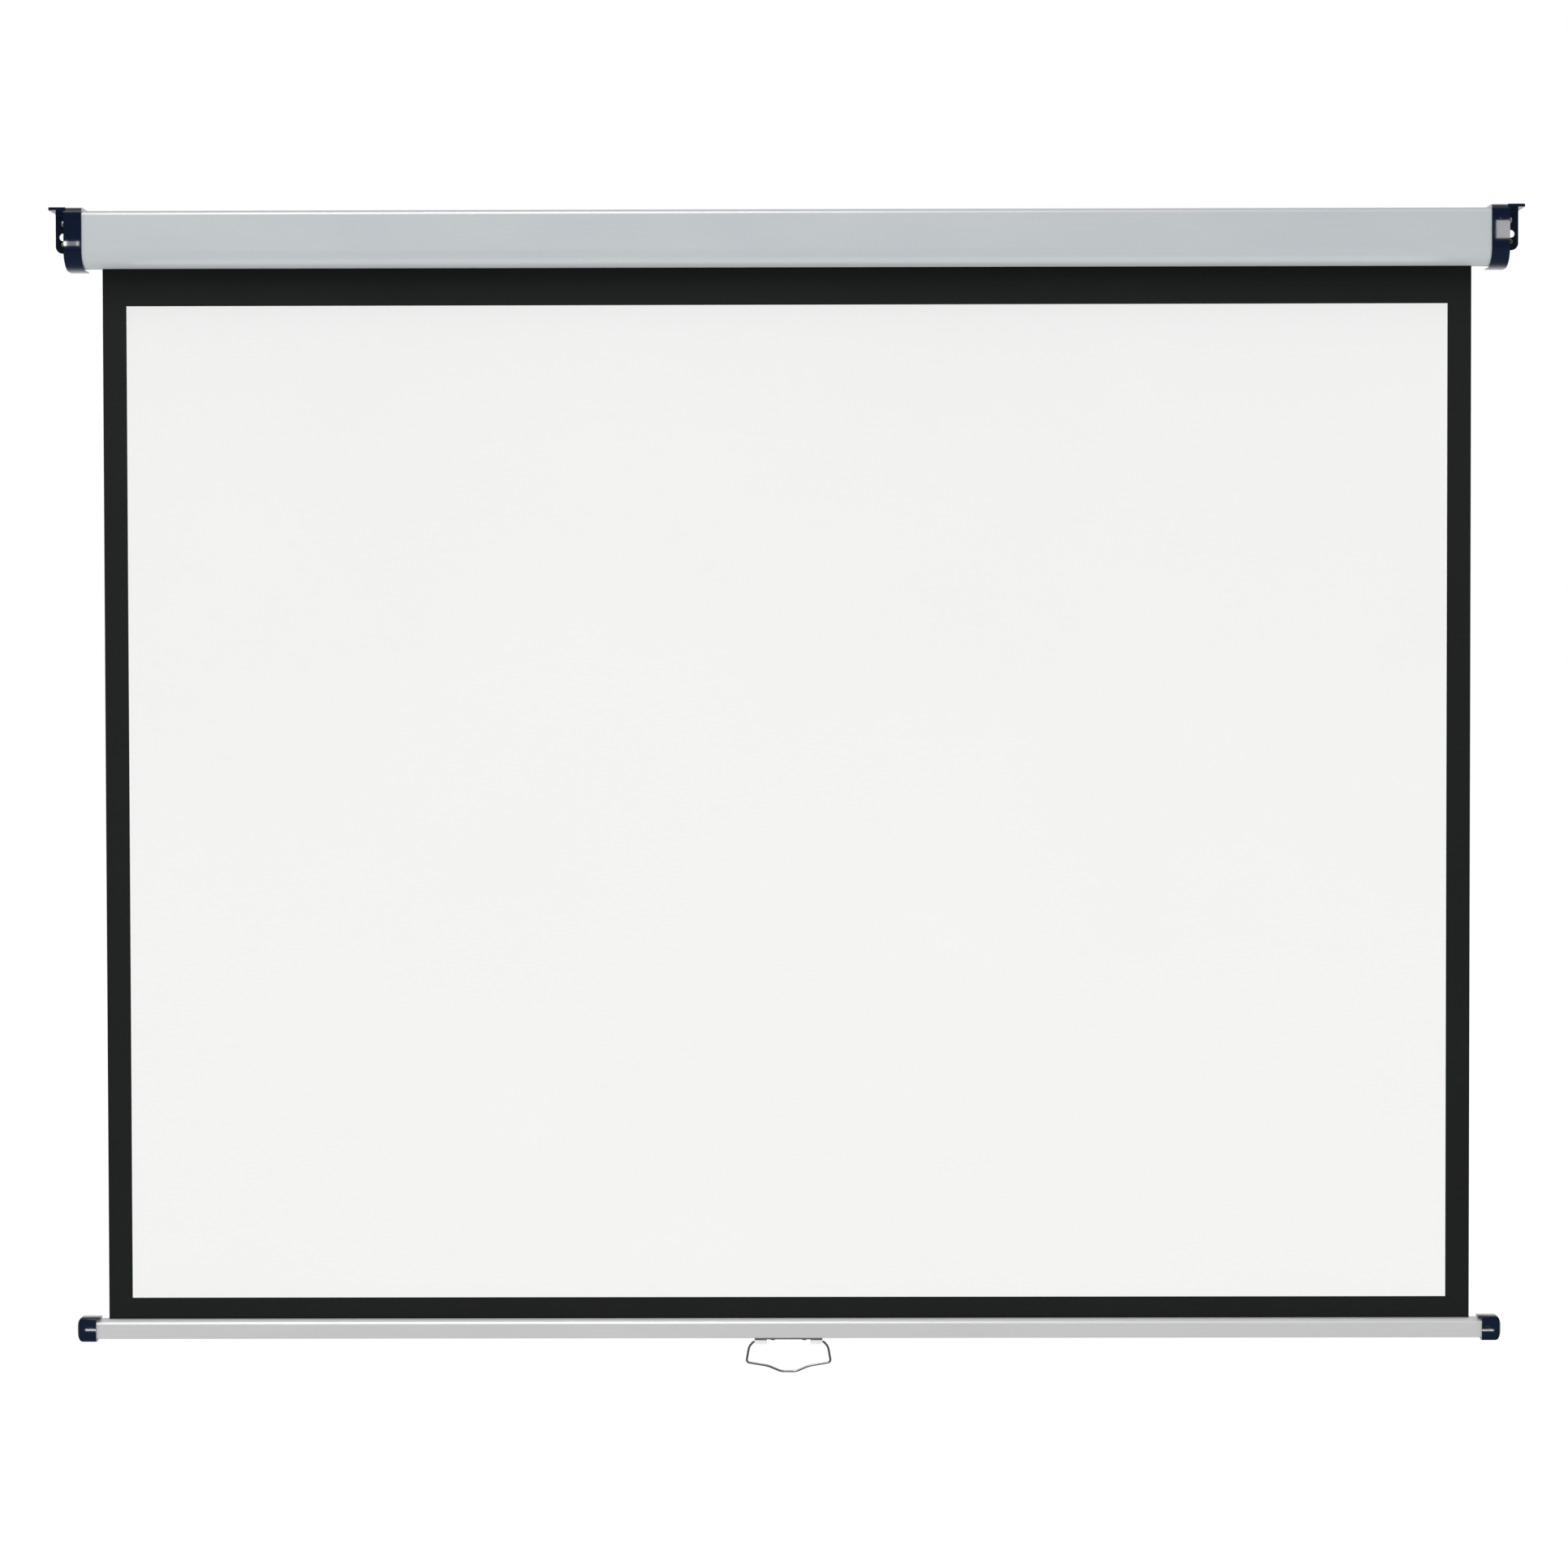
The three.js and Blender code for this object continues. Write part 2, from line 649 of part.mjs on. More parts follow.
// End cap of the bar: rounded block with a domed outer end, a lip over the bar and a pocket for it.
function barCap(side) {
  const inner = barHalf - barShow;
  const outer = inner + barCapLength;
  const top = barCapRise;
  const foot = -barHeight - barCapDrop;
  const mid = (top + foot) / 2;
  const front = new THREE.Shape();
  front.moveTo(side * inner, foot);
  front.lineTo(side * (outer - barCapDome), foot);
  front.quadraticCurveTo(side * outer, foot, side * outer, mid);
  front.quadraticCurveTo(side * outer, top, side * (outer - barCapDome), top);
  front.lineTo(side * (inner - barCapLip), top);
  front.lineTo(side * (inner - barCapLip), fit);
  front.lineTo(side * inner, fit);
  const half = barDepth / 2 + barCapWall;
  const section = new THREE.Shape();
  section.moveTo(half, foot + barCapCorner);
  section.lineTo(half, top - barCapCorner);
  section.quadraticCurveTo(half, top, half - barCapCorner, top);
  section.lineTo(barCapCorner - half, top);
  section.quadraticCurveTo(-half, top, -half, top - barCapCorner);
  section.lineTo(-half, foot + barCapCorner);
  section.quadraticCurveTo(-half, foot, barCapCorner - half, foot);
  section.lineTo(half - barCapCorner, foot);
  section.quadraticCurveTo(half, foot, half, foot + barCapCorner);
  const body = solid(alongY(front, half, 2 * half)).intersect(
    solid(alongX(section, side * (inner - barCapLip - overrun), side * (outer + overrun))));
  const pocket = alongX(barShape(-fit), side * (inner - barCapLip - overrun), side * (barHalf + fit));
  return geometryOf(cut(body, pocket));
}

// Steel strip whose ends are folded under, with holes for the rivets and for the bearings' studs.
function handlePlate() {
  const strip = block(0, 0, plateTopZ - plateWall / 2, plateLength, plateDepth, plateWall);
  const foldTop = plateTopZ - plateWall / 2;
  const foldFoot = bearingTopZ + fit;
  const folds = sides.map(([, side]) => block(side * bearingMidX, 0, (foldTop + foldFoot) / 2,
    bearingLength, plateDepth, foldTop - foldFoot));
  const holePlaces = [
    ...rivetPlaces.map(([, x]) => [rivetRadius, x]),
    ...sides.map(([, side]) => [studRadius, side * bearingMidX]),
  ];
  const holes = holePlaces.map(([radius, x]) =>
    upRod(radius + fit, x, foldFoot - overrun, plateTopZ + overrun));
  return geometryOf(cut(joined(strip, ...folds), ...holes));
}

// Nylon bearing under one end of the plate. The wire's end turns in its bore, and its stud holds it.
function wireBearing(side) {
  const inner = side * bearingInnerX;
  const outer = side * plateLength / 2;
  const shape = new THREE.Shape();
  shape.moveTo(inner, bearingTopZ);
  shape.lineTo(inner, bearingFootZ + bearingCorner);
  shape.quadraticCurveTo(inner, bearingFootZ, inner + side * bearingCorner, bearingFootZ);
  shape.lineTo(outer - side * bearingCorner, bearingFootZ);
  shape.quadraticCurveTo(outer, bearingFootZ, outer, bearingFootZ + bearingCorner);
  shape.lineTo(outer, bearingTopZ);
  const stud = upRod(studRadius, side * bearingMidX, bearingTopZ - bearingWall / 2, plateTopZ - fit);
  const bore = rod(wireBore, inner - side * overrun, outer + side * overrun).translate(0, 0, wireZ);
  return geometryOf(cut(joined(alongY(shape, bearingDepth / 2, bearingDepth), stud), bore));
}

// Blind rivet: low dome under the plate, a shank through plate and bar, and its set end inside the bar.
function rivet() {
  const under = plateTopZ - plateWall - fit;
  const inside = -barHeight + barWall + fit;
  const profile = [[0, under - rivetRise], [rivetHead / 2, under - rivetRise * rivetDomeShare],
    [rivetHead, under], [rivetRadius, under], [rivetRadius, inside], [rivetRadius + 2 * fit, inside],
    [rivetRadius + 2 * fit, inside + rivetRise], [0, inside + rivetRise]];
  const outline = profile.map(([radius, z]) => new THREE.Vector2(radius, z));
  outline.push(outline[0].clone());
  return new THREE.LatheGeometry(outline, smallFlats).rotateX(Math.PI / 2);
}

// Corners of half the wire below its shoulder, as shares of half its width and of its drop.
const wireShares = [[0.936, 0.163], [1, 0.69], [0.487, 0.812], [0.176, 1]];

// The wire's line: an end inside each bearing, a shoulder past it, then the corners, all rounded.
function wirePath() {
  const half = plateLength / 2;
  const reach = half + handleFlare;
  const start = new THREE.Vector3(bearingInnerX + wireGap, 0, 0);
  const shoulder = new THREE.Vector3(half + wireRadius + fit, 0, 0);
  const below = wireShares.map(([across, down]) =>
    new THREE.Vector3(across * reach, 0, -down * handleDrop));
  const right = [start, shoulder, ...below];
  const left = right.map(({ x, z }) => new THREE.Vector3(-x, 0, z));
  const corners = [...left, ...right.reverse()];
  const path = new THREE.CurvePath();
  let from = corners[0];
  corners.slice(1, -1).forEach((corner, index) => {
    const [before, after] = [corners[index], corners[index + 2]].map((neighbour) => {
      const way = neighbour.clone().sub(corner);
      const atShoulder = corner.z === 0;
      const setBack = Math.min(atShoulder ? wireRadius : wireBend, way.length() * wireBendShare);
      return corner.clone().add(way.setLength(setBack));
    });
    path.add(new THREE.LineCurve3(from, before));
    path.add(new THREE.QuadraticBezierCurve3(before, corner, after));
    from = after;
  });
  path.add(new THREE.LineCurve3(from, corners.at(-1)));
  return path;
}

function pullHandle() {
  const section = new THREE.Shape();
  section.absarc(0, 0, wireRadius, 0, 2 * Math.PI, false);
  return new THREE.ExtrudeGeometry(section, {
    steps: wireSteps, extrudePath: wirePath(), bevelEnabled: false, curveSegments: wireSides / 2 });
}

function place(group, name, geometry, material, position = [0, 0, 0], turn = 0) {
  const mesh = new THREE.Mesh(welded(geometry), material);
  mesh.name = name;
  mesh.position.set(...position);
  mesh.rotation.x = turn;
  group.add(mesh);
}

const screen = new THREE.Group();
const roller = new THREE.Group();
roller.position.set(0, -rollerDepth, rollerRise);
const bar = new THREE.Group();
bar.position.set(0, clothY + carrierThickness / 2, barTopZ);
const handle = new THREE.Group();
handle.position.set(0, 0, wireZ);
bar.add(handle);
screen.add(roller, bar);

place(screen, 'housing_shell', housingShell(), silverPaint);
place(screen, 'end_cap_left', springEndCap(), navyGloss);
place(screen, 'end_cap_right', idlerEndCap(), navyGloss);
for (const [name, side] of sides) {
  portCentres.forEach(([y, z], index) => {
    const screw = panScrew(screwRadius, screwLength, screwHeadRadius, screwHeadHeight);
    const mesh = side > 0 ? screw : screw.rotateZ(Math.PI);
    place(screen, `case_screw_${name}_${['front', 'rear'][index]}`, mesh, zincSteel,
      [side * (capOuterX + fit), y, z]);
  });
  place(screen, `flange_screw_${name}`, flangeScrew(), brassPlate,
    [side * flangeMidX, seatDepth - wallPlate - fit, seatZ]);
}
place(screen, 'carrier_cloth',
  clothLayer(clothHalf, clothY, carrierThickness, rollerRise, barTopZ - hemRise + hemRodRadius + fit),
  blackCloth);
place(screen, 'picture_surface',
  clothLayer(pictureWidth / 2, clothY - fit - pictureCoat, pictureCoat, pictureTopZ, pictureBottomZ),
  whiteCloth);

place(roller, 'arbor_rod', arborRod(), zincSteel);
place(roller, 'ratchet_disc', ratchetDisc(), zincSteel);
place(roller, 'spring_anchor', springAnchor(), nylon);
place(roller, 'anchor_pin', anchorPin(), springSteel);
place(roller, 'arbor_washer', endWasher(-1, arborRadius + fit), nylon);
place(roller, 'idler_washer', endWasher(1, gudgeonRadius + fit), nylon);
place(roller, 'idler_bush', idlerBush(), nylon);

place(roller, 'roller_tube', rollerTube(), zincSteel);
place(roller, 'cloth_wraps', clothWraps(), blackCloth);
place(roller, 'roller_plug_spring', springPlug(), nylon);
place(roller, 'roller_cover', springCover(), nylon);
place(roller, 'roller_plug_idler', idlerPlug(), nylon);
place(roller, 'gudgeon_pin', gudgeonPin(), zincSteel);
place(roller, 'torsion_spring', torsionSpring(), springSteel);
[['upper', 1], ['lower', -1]].forEach(([name, side]) => {
  const turn = side > 0 ? 0 : Math.PI;
  place(roller, `pawl_pin_${name}`, pawlPin(), springSteel, [0, 0, side * pawlPinReach]);
  place(roller, `pawl_${name}`, pawl(), zincSteel, [0, 0, side * pawlPinReach], turn);
});

place(bar, 'weight_bar', weightBar(), silverBar);
place(bar, 'hem_rod', hemRod(), nylon);
place(bar, 'bar_cap_left', barCap(-1), navyGloss);
place(bar, 'bar_cap_right', barCap(1), navyGloss);
place(bar, 'handle_plate', handlePlate(), zincSteel);
sides.forEach(([name, side]) => place(bar, `handle_bearing_${name}`, wireBearing(side), whiteNylon));
rivetPlaces.forEach(([name, x]) => place(bar, `handle_rivet_${name}`, rivet(), zincSteel, [x, 0, 0]));
place(handle, 'pull_handle', pullHandle(), greyWire);

export default screen;
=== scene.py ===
import json
import math

import bmesh
import bpy
from mathutils import Matrix, Vector


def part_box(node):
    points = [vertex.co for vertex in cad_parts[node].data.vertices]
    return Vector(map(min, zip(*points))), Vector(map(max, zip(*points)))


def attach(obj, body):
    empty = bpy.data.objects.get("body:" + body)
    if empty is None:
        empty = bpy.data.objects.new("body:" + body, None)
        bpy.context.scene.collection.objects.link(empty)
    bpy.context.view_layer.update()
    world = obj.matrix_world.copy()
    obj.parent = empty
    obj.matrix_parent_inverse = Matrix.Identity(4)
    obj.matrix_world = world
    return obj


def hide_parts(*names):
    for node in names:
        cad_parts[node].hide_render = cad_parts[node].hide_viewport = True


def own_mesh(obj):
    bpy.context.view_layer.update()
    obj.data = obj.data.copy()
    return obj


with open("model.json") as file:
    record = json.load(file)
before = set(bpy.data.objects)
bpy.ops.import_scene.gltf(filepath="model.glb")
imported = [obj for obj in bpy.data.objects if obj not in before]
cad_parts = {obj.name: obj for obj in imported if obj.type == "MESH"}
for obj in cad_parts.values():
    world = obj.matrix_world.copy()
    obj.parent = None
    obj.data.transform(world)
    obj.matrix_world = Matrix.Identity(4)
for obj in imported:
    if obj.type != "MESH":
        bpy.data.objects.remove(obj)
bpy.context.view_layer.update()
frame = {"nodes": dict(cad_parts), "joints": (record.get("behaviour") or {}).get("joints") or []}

# Housing: one long case, roll formed from 1.2 mm sheet and powder coated in satin silver grey.
# Its flat front turns under in a long curve, and both edges of the slot are curled inward into a
# bead. Two screw ports run along the inside, and its ends sit in the end caps.
MM = 0.001  # in metres. Shapes are drawn in millimetres, and piece() turns them to metres.
same_point = 0.001  # points nearer to each other than this are merged
along_case = (1, 0, 0)
upward = (0, 0, 1)
housing_half = 811.3
housing_depth = 58.5
housing_top = 32.5
housing_wall = 1.2
knee = -12.5
under_depth = 38
under_height = 20
slot_front = 33
back_foot = -28.5
back_round = 2
brow = 5.5
bead = 1.4
bead_turn = math.radians(262)
port_places = ((-54.3, 18), (-4.2, -20))
port_radius = 3.6
port_bore = 2.2


class Feed:
    """A socket in a finish. Operators on it add Math nodes, and node() adds any other node."""

    def __init__(self, tree, socket=None):
        self.tree = tree
        self.socket = socket

    def node(self, kind, settings=None, sockets=None, out=0):
        made = self.tree.nodes.new("ShaderNode" + kind)
        for name, value in (settings or {}).items():
            setattr(made, name, value)
        for name, value in (sockets or {}).items():
            if isinstance(value, Feed):
                self.tree.links.new(value.socket, made.inputs[name])
            else:
                made.inputs[name].default_value = value
        return Feed(self.tree, made.outputs[out] if made.outputs else None)

    def math(self, operation, first, second=0.0):
        return self.node("Math", {"operation": operation}, {0: first, 1: second})

    def __add__(self, other):
        return self.math("ADD", self, other)

    def __rsub__(self, other):
        return self.math("SUBTRACT", other, self)

    def __mul__(self, other):
        return self.math("MULTIPLY", self, other)

    __radd__ = __add__
    __rmul__ = __mul__


def colour(red, green, blue):
    """A colour as a screen shows it, 0 to 255, as Blender's linear colour."""
    shares = (red / 255, green / 255, blue / 255)
    linear = [share / 12.92 if share <= 0.04045 else ((share + 0.055) / 1.055) ** 2.4
              for share in shares]
    return (*linear, 1)


def new_finish(name):
    material = bpy.data.materials.new(name)
    material.use_nodes = True
    material.node_tree.nodes.clear()
    return material, Feed(material.node_tree)


def grain(feed, across, deep=None, high=None, detail=2.0):
    """Soft clouds from 0 to 1, of these sizes in millimetres, or of one size all ways."""
    place = feed.node("TexCoord", out="Object")
    scale = [1 / size / MM for size in (across, deep or across, high or across)]
    sized = feed.node("Mapping", sockets={"Vector": place, "Scale": scale})
    return feed.node("TexNoise", sockets={"Vector": sized, "Scale": 1.0, "Detail": detail,
                                          "Roughness": 0.55})


def tint(feed, share, first, second):
    """A colour between two. A Mix node has its colours at sockets 6 and 7, the mixed one at 2."""
    return feed.node("Mix", {"data_type": "RGBA"}, {0: share, 6: first, 7: second}, out=2)


def stepped(feed, value, low, high):
    """0 below low, 1 above high and a smooth rise between them."""
    return feed.node("MapRange", {"interpolation_type": "SMOOTHSTEP"},
                     {"Value": value, "From Min": low, "From Max": high, "To Min": 0.0,
                      "To Max": 1.0})


def relief(feed, height, depth, strength=0.5):
    """Bumps of this depth in millimetres."""
    return feed.node("Bump", sockets={"Strength": strength, "Distance": depth * MM,
                                      "Height": height})


def coated(feed, sockets):
    surface = feed.node("BsdfPrincipled", sockets=sockets)
    feed.node("OutputMaterial", sockets={"Surface": surface})


def silver_powder_coat():
    material, feed = new_finish("silver powder coat")
    cloud = grain(feed, 170, 60, 60)
    flake = grain(feed, 0.5, detail=1.0)
    drawn = grain(feed, 260, 1.1, 1.1)
    peel = grain(feed, 1.8)
    scuff = stepped(feed, grain(feed, 9, 2.2, 2.2, detail=4.0), 0.66, 0.76)
    mixed = cloud * 0.45 + flake * 0.25 + drawn * 0.3
    coated(feed, {
        "Base Color": tint(feed, mixed, colour(184, 191, 196), colour(202, 206, 208)),
        "Metallic": 0.06,
        "Roughness": 0.32 + 0.1 * cloud + 0.05 * drawn + 0.08 * scuff,
        "Coat Weight": 0.5,
        "Coat Roughness": 0.2,
        "Normal": relief(feed, peel + flake * 0.4, 0.05),
    })
    return material


def points_of(geometry):
    return [part for part in geometry if isinstance(part, bmesh.types.BMVert)]


def drawn_sheet(shape, length):
    """The line in shape drawn out along the case into a thin sheet."""
    grown = bmesh.ops.extrude_edge_only(shape, edges=shape.edges[:])["geom"]
    bmesh.ops.translate(shape, vec=(length, 0, 0), verts=points_of(grown))
    bmesh.ops.recalc_face_normals(shape, faces=shape.faces)


def rounded(shape, corner, radius, steps):
    bmesh.ops.bevel(shape, geom=[corner], offset=radius, segments=steps, profile=0.5,
                    affect="VERTICES", material=-1)


def spun(profile, steps=48, centre=(0, 0, 0), axis=along_case):
    """A closed body turned about an axis, from an outline of (place on the axis, radius)."""
    shape = bmesh.new()
    along = Vector(axis)
    out = Vector(upward) if along.z == 0 else Vector(along_case)
    ring = [shape.verts.new(Vector(centre) + along * place + out * radius)
            for place, radius in profile]
    edges = [shape.edges.new(pair) for pair in zip(ring, ring[1:] + ring[:1])]
    bmesh.ops.spin(shape, geom=ring + edges, cent=centre, axis=axis, angle=2 * math.pi, steps=steps,
                   use_merge=True)
    bmesh.ops.remove_doubles(shape, verts=shape.verts, dist=same_point)
    on_axis = [edge for edge in shape.edges if not edge.link_faces]
    bmesh.ops.delete(shape, geom=on_axis, context="EDGES")
    bmesh.ops.recalc_face_normals(shape, faces=shape.faces)
    return shape


def as_object(shape, name):
    mesh = bpy.data.meshes.new(name)
    shape.to_mesh(mesh)
    shape.free()
    made = bpy.data.objects.new(name, mesh)
    bpy.context.scene.collection.objects.link(made)
    return made


def cleaned(shape, degrees):
    """Merges doubled points, then joins faces that turn from each other by less than this."""
    bmesh.ops.remove_doubles(shape, verts=shape.verts, dist=same_point)
    bmesh.ops.dissolve_limit(shape, angle_limit=math.radians(degrees), verts=shape.verts,
                             edges=shape.edges)
    return shape


def worked(shape, operation, *tools):
    """shape joined with, cut by or kept inside the tools' closed bodies, one after another."""
    body = as_object(shape, "body")
    cutters = [as_object(tool, "tool") for tool in tools]
    for cutter in cutters:
        step = body.modifiers.new("step", "BOOLEAN")
        step.operation = operation
        step.solver = "EXACT"
        step.object = cutter
    result = bmesh.new()
    result.from_object(body, bpy.context.evaluated_depsgraph_get())
    for used in [body, *cutters]:
        mesh = used.data
        bpy.data.objects.remove(used)
        bpy.data.meshes.remove(mesh)
    return cleaned(result, 0.2)


def piece(name, shape, material, body, slot, *stands_for, edge=0.3, crease=32):
    """The finished piece in metres: smooth with sharp creases, its edges broken by a bevel."""
    bmesh.ops.scale(shape, vec=(MM, MM, MM), verts=shape.verts)
    made = as_object(shape, name)
    made.data.materials.append(material)
    made.data.shade_smooth()
    made.data.set_sharp_from_angle(angle=math.radians(crease))
    if edge:
        broken = made.modifiers.new("broken edges", "BEVEL")
        broken.width = edge * MM
        broken.segments = 2
        broken.limit_method = "ANGLE"
        broken.angle_limit = math.radians(crease)
        broken.miter_outer = "MITER_ARC"
    even = made.modifiers.new("even shading", "WEIGHTED_NORMAL")
    even.keep_sharp = True
    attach(made, body)
    if stands_for:
        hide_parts(*stands_for)
    return made


def swept(shape, first, centre, axis, angle, steps):
    """The points of the arc that first draws about an axis, with first itself."""
    before = set(shape.verts)
    bmesh.ops.spin(shape, geom=[first], cent=centre, axis=axis, angle=angle, steps=steps,
                   use_merge=False)
    return [first] + [vert for vert in shape.verts if vert not in before]


def front_curve(shape, grow, turn):
    """The curve from the flat front to the underside: an arc, then pressed to its height."""
    start = shape.verts.new((0, -housing_depth - grow, knee))
    centre = (0, under_depth - housing_depth, knee)
    curve = swept(shape, start, centre, along_case, turn, 40)
    press = (under_height + grow) / (under_depth + grow)
    bmesh.ops.scale(shape, vec=(1, 1, press), space=Matrix.Translation((0, 0, -knee)), verts=curve)
    return curve


sheet = bmesh.new()
lip_turn = math.acos((slot_front - housing_depth + under_depth) / under_depth)
curve = front_curve(sheet, 0, lip_turn)
lip_way = (curve[-1].co - curve[-2].co).normalized()
lip_centre = curve[-1].co + Vector((0, -lip_way.z, lip_way.y)) * bead
swept(sheet, curve[-1], lip_centre, along_case, bead_turn, 20)
front_corner = sheet.verts.new((0, -housing_depth, housing_top))
back_corner = sheet.verts.new((0, 0, housing_top))
foot = sheet.verts.new((0, 0, back_foot))
for pair in ((curve[0], front_corner), (front_corner, back_corner), (back_corner, foot)):
    sheet.edges.new(pair)
swept(sheet, foot, (0, -bead, back_foot), along_case, -bead_turn, 20)
rounded(sheet, front_corner, brow, 10)
rounded(sheet, back_corner, back_round, 8)
bmesh.ops.translate(sheet, vec=(-housing_half, 0, 0), verts=sheet.verts)
drawn_sheet(sheet, 2 * housing_half)
top_face = max(sheet.faces, key=lambda face: face.calc_center_median().z)
if top_face.normal.z < 0:
    bmesh.ops.reverse_faces(sheet, faces=sheet.faces)
bmesh.ops.solidify(sheet, geom=sheet.faces[:], thickness=housing_wall)
ports = [spun(((-housing_half, port_radius), (housing_half, port_radius), (housing_half, port_bore),
               (-housing_half, port_bore)), 28, (0, *place)) for place in port_places]
piece("housing_case", worked(sheet, "UNION", *ports), silver_powder_coat(), "case",
      "housing_silver", "housing_shell", edge=0)


# End caps: polished dark navy mouldings that close the case. Each is a band round the case's end
# with a ceiling flange (two holes), a wall flange (an open hole and a screw seat) and a boss that
# holds the roller: a slot for the arbor's tongue at the left, a round socket at the right.
cap_inner = 794
cap_outer = 814.3
cap_room = 812.1
cap_tip = 831.5
cap_wall = 1.5
cap_fillet = 2.6
flange_top = 36.1
flange_under = 32.8
flange_foot = -11.9
flange_front = -60
flange_middle = 822.9
wall_flange = 3
tip_round = 3
foot_round = 8
ceiling_holes = (-13, -47)
ceiling_hole_radius = 2.75
open_hole_height = 6.7
open_hole_radius = 4.4
seat_height = -1.9
seat_radius = 4.1
seat_depth = 1.4
seat_bore = 2.3
rim_radius = 5.5
rim_height = 0.9
fit = 0.3
overrun = 5
axis_y, axis_z = -31, 4
roller_axis = (0, axis_y, axis_z)
boss_inner = 786.2
boss_radius = 10
tongue_slot_depth = 20
tongue_slot_half_y = 1.8
tongue_slot_half_z = 3.3
socket_depth = 12
socket_radius = 7.2


def navy_moulding():
    material, feed = new_finish("navy moulding")
    cloud = grain(feed, 45)
    peel = grain(feed, 9)
    haze = grain(feed, 1.2, detail=4.0)
    rubbed = stepped(feed, grain(feed, 14, 3, 3, detail=5.0), 0.62, 0.75)
    coated(feed, {
        "Base Color": tint(feed, cloud, colour(11, 20, 38), colour(17, 30, 52)),
        "Roughness": 0.01 + 0.008 * haze + 0.06 * rubbed,
        "IOR": 1.5,
        "Normal": relief(feed, peel, 0.0012, 0.3),
    })
    return material


def on_plane(axis, point):
    """The place in space of an outline's point, on the plane across an axis."""
    place = list(point)
    place.insert(axis, 0)
    return place


def outlined(points, rounds=None, axis=0, steps=6):
    """A flat outline across an axis. rounds gives the radius of each corner that is rounded."""
    shape = bmesh.new()
    corners = [shape.verts.new(on_plane(axis, point)) for point in points]
    shape.faces.new(corners)
    for index, radius in (rounds or {}).items():
        rounded(shape, corners[index], radius, steps)
    return shape


def rectangle(first, second):
    """The four corners of an outline between two ends one way and two the other."""
    return ((first[0], second[0]), (first[1], second[0]), (first[1], second[1]),
            (first[0], second[1]))


def drawn_out(shape, start, end, axis=0):
    """The flat outline in shape drawn out along an axis into a closed body."""
    begin, length = [0, 0, 0], [0, 0, 0]
    begin[axis], length[axis] = start, end - start
    bmesh.ops.translate(shape, vec=begin, verts=shape.verts)
    grown = bmesh.ops.extrude_face_region(shape, geom=shape.faces[:])["geom"]
    bmesh.ops.translate(shape, vec=length, verts=points_of(grown))
    bmesh.ops.recalc_face_normals(shape, faces=shape.faces)
    return shape


def rod(radius, start, end, steps=40, centre=(0, 0, 0), axis=along_case):
    """A plain round bar from one place on its axis to another."""
    return spun(((start, 0), (start, radius), (end, radius), (end, 0)), steps, centre, axis)


def block(x_range, y_range, z_range):
    shape = bmesh.new()
    bmesh.ops.create_cube(shape, size=1)
    ranges = (x_range, y_range, z_range)
    bmesh.ops.scale(shape, vec=[high - low for low, high in ranges], verts=shape.verts)
    bmesh.ops.translate(shape, vec=[(high + low) / 2 for low, high in ranges], verts=shape.verts)
    return shape


def about(middle, half):
    """The range from this far below a middle to this far above it."""
    return middle - half, middle + half


def hood(top, rear, grow):
    """Outline of the end cap's band, or of the room inside it."""
    shape = bmesh.new()
    curve = front_curve(shape, grow, math.pi / 2)
    foot = shape.verts.new((0, rear, curve[-1].co.z))
    back = shape.verts.new((0, rear, top))
    front = shape.verts.new((0, -housing_depth - grow, top))
    shape.faces.new([foot, back, front, *curve])
    rounded(shape, front, brow + grow, 10)
    return shape


def fillet(corner, ways, axis, start, end):
    """A bar with a hollow face that fills the corner of two walls, 1 mm into both of them."""
    inside = [at - way for at, way in zip(corner, ways)]
    hollow = [at + way * cap_fillet for at, way in zip(corner, ways)]
    turn = Vector([float(index == axis) for index in range(3)])
    quarter = math.pi / 2 * ways[0] * ways[1] * (1 if axis == 1 else -1)
    shape = bmesh.new()
    first = shape.verts.new(on_plane(axis, (hollow[0], corner[1])))
    arc = swept(shape, first, on_plane(axis, hollow), turn, quarter, 8)
    ends = [shape.verts.new(on_plane(axis, point))
            for point in ((inside[0], hollow[1]), inside, (hollow[0], inside[1]))]
    shape.faces.new([*arc, *ends])
    return drawn_out(shape, start, end, axis)


def mirrored(shape, side):
    """The same form for the left end, turned right side out."""
    if side < 0:
        bmesh.ops.scale(shape, vec=(-1, 1, 1), verts=shape.verts)
        bmesh.ops.recalc_face_normals(shape, faces=shape.faces)
    return shape


def through_flange(radius, height, front, back, steps=40):
    """A round bar that stands square to the wall flange, from one y to another."""
    return rod(radius, -front, -back, steps, (flange_middle, 0, height), (0, -1, 0))


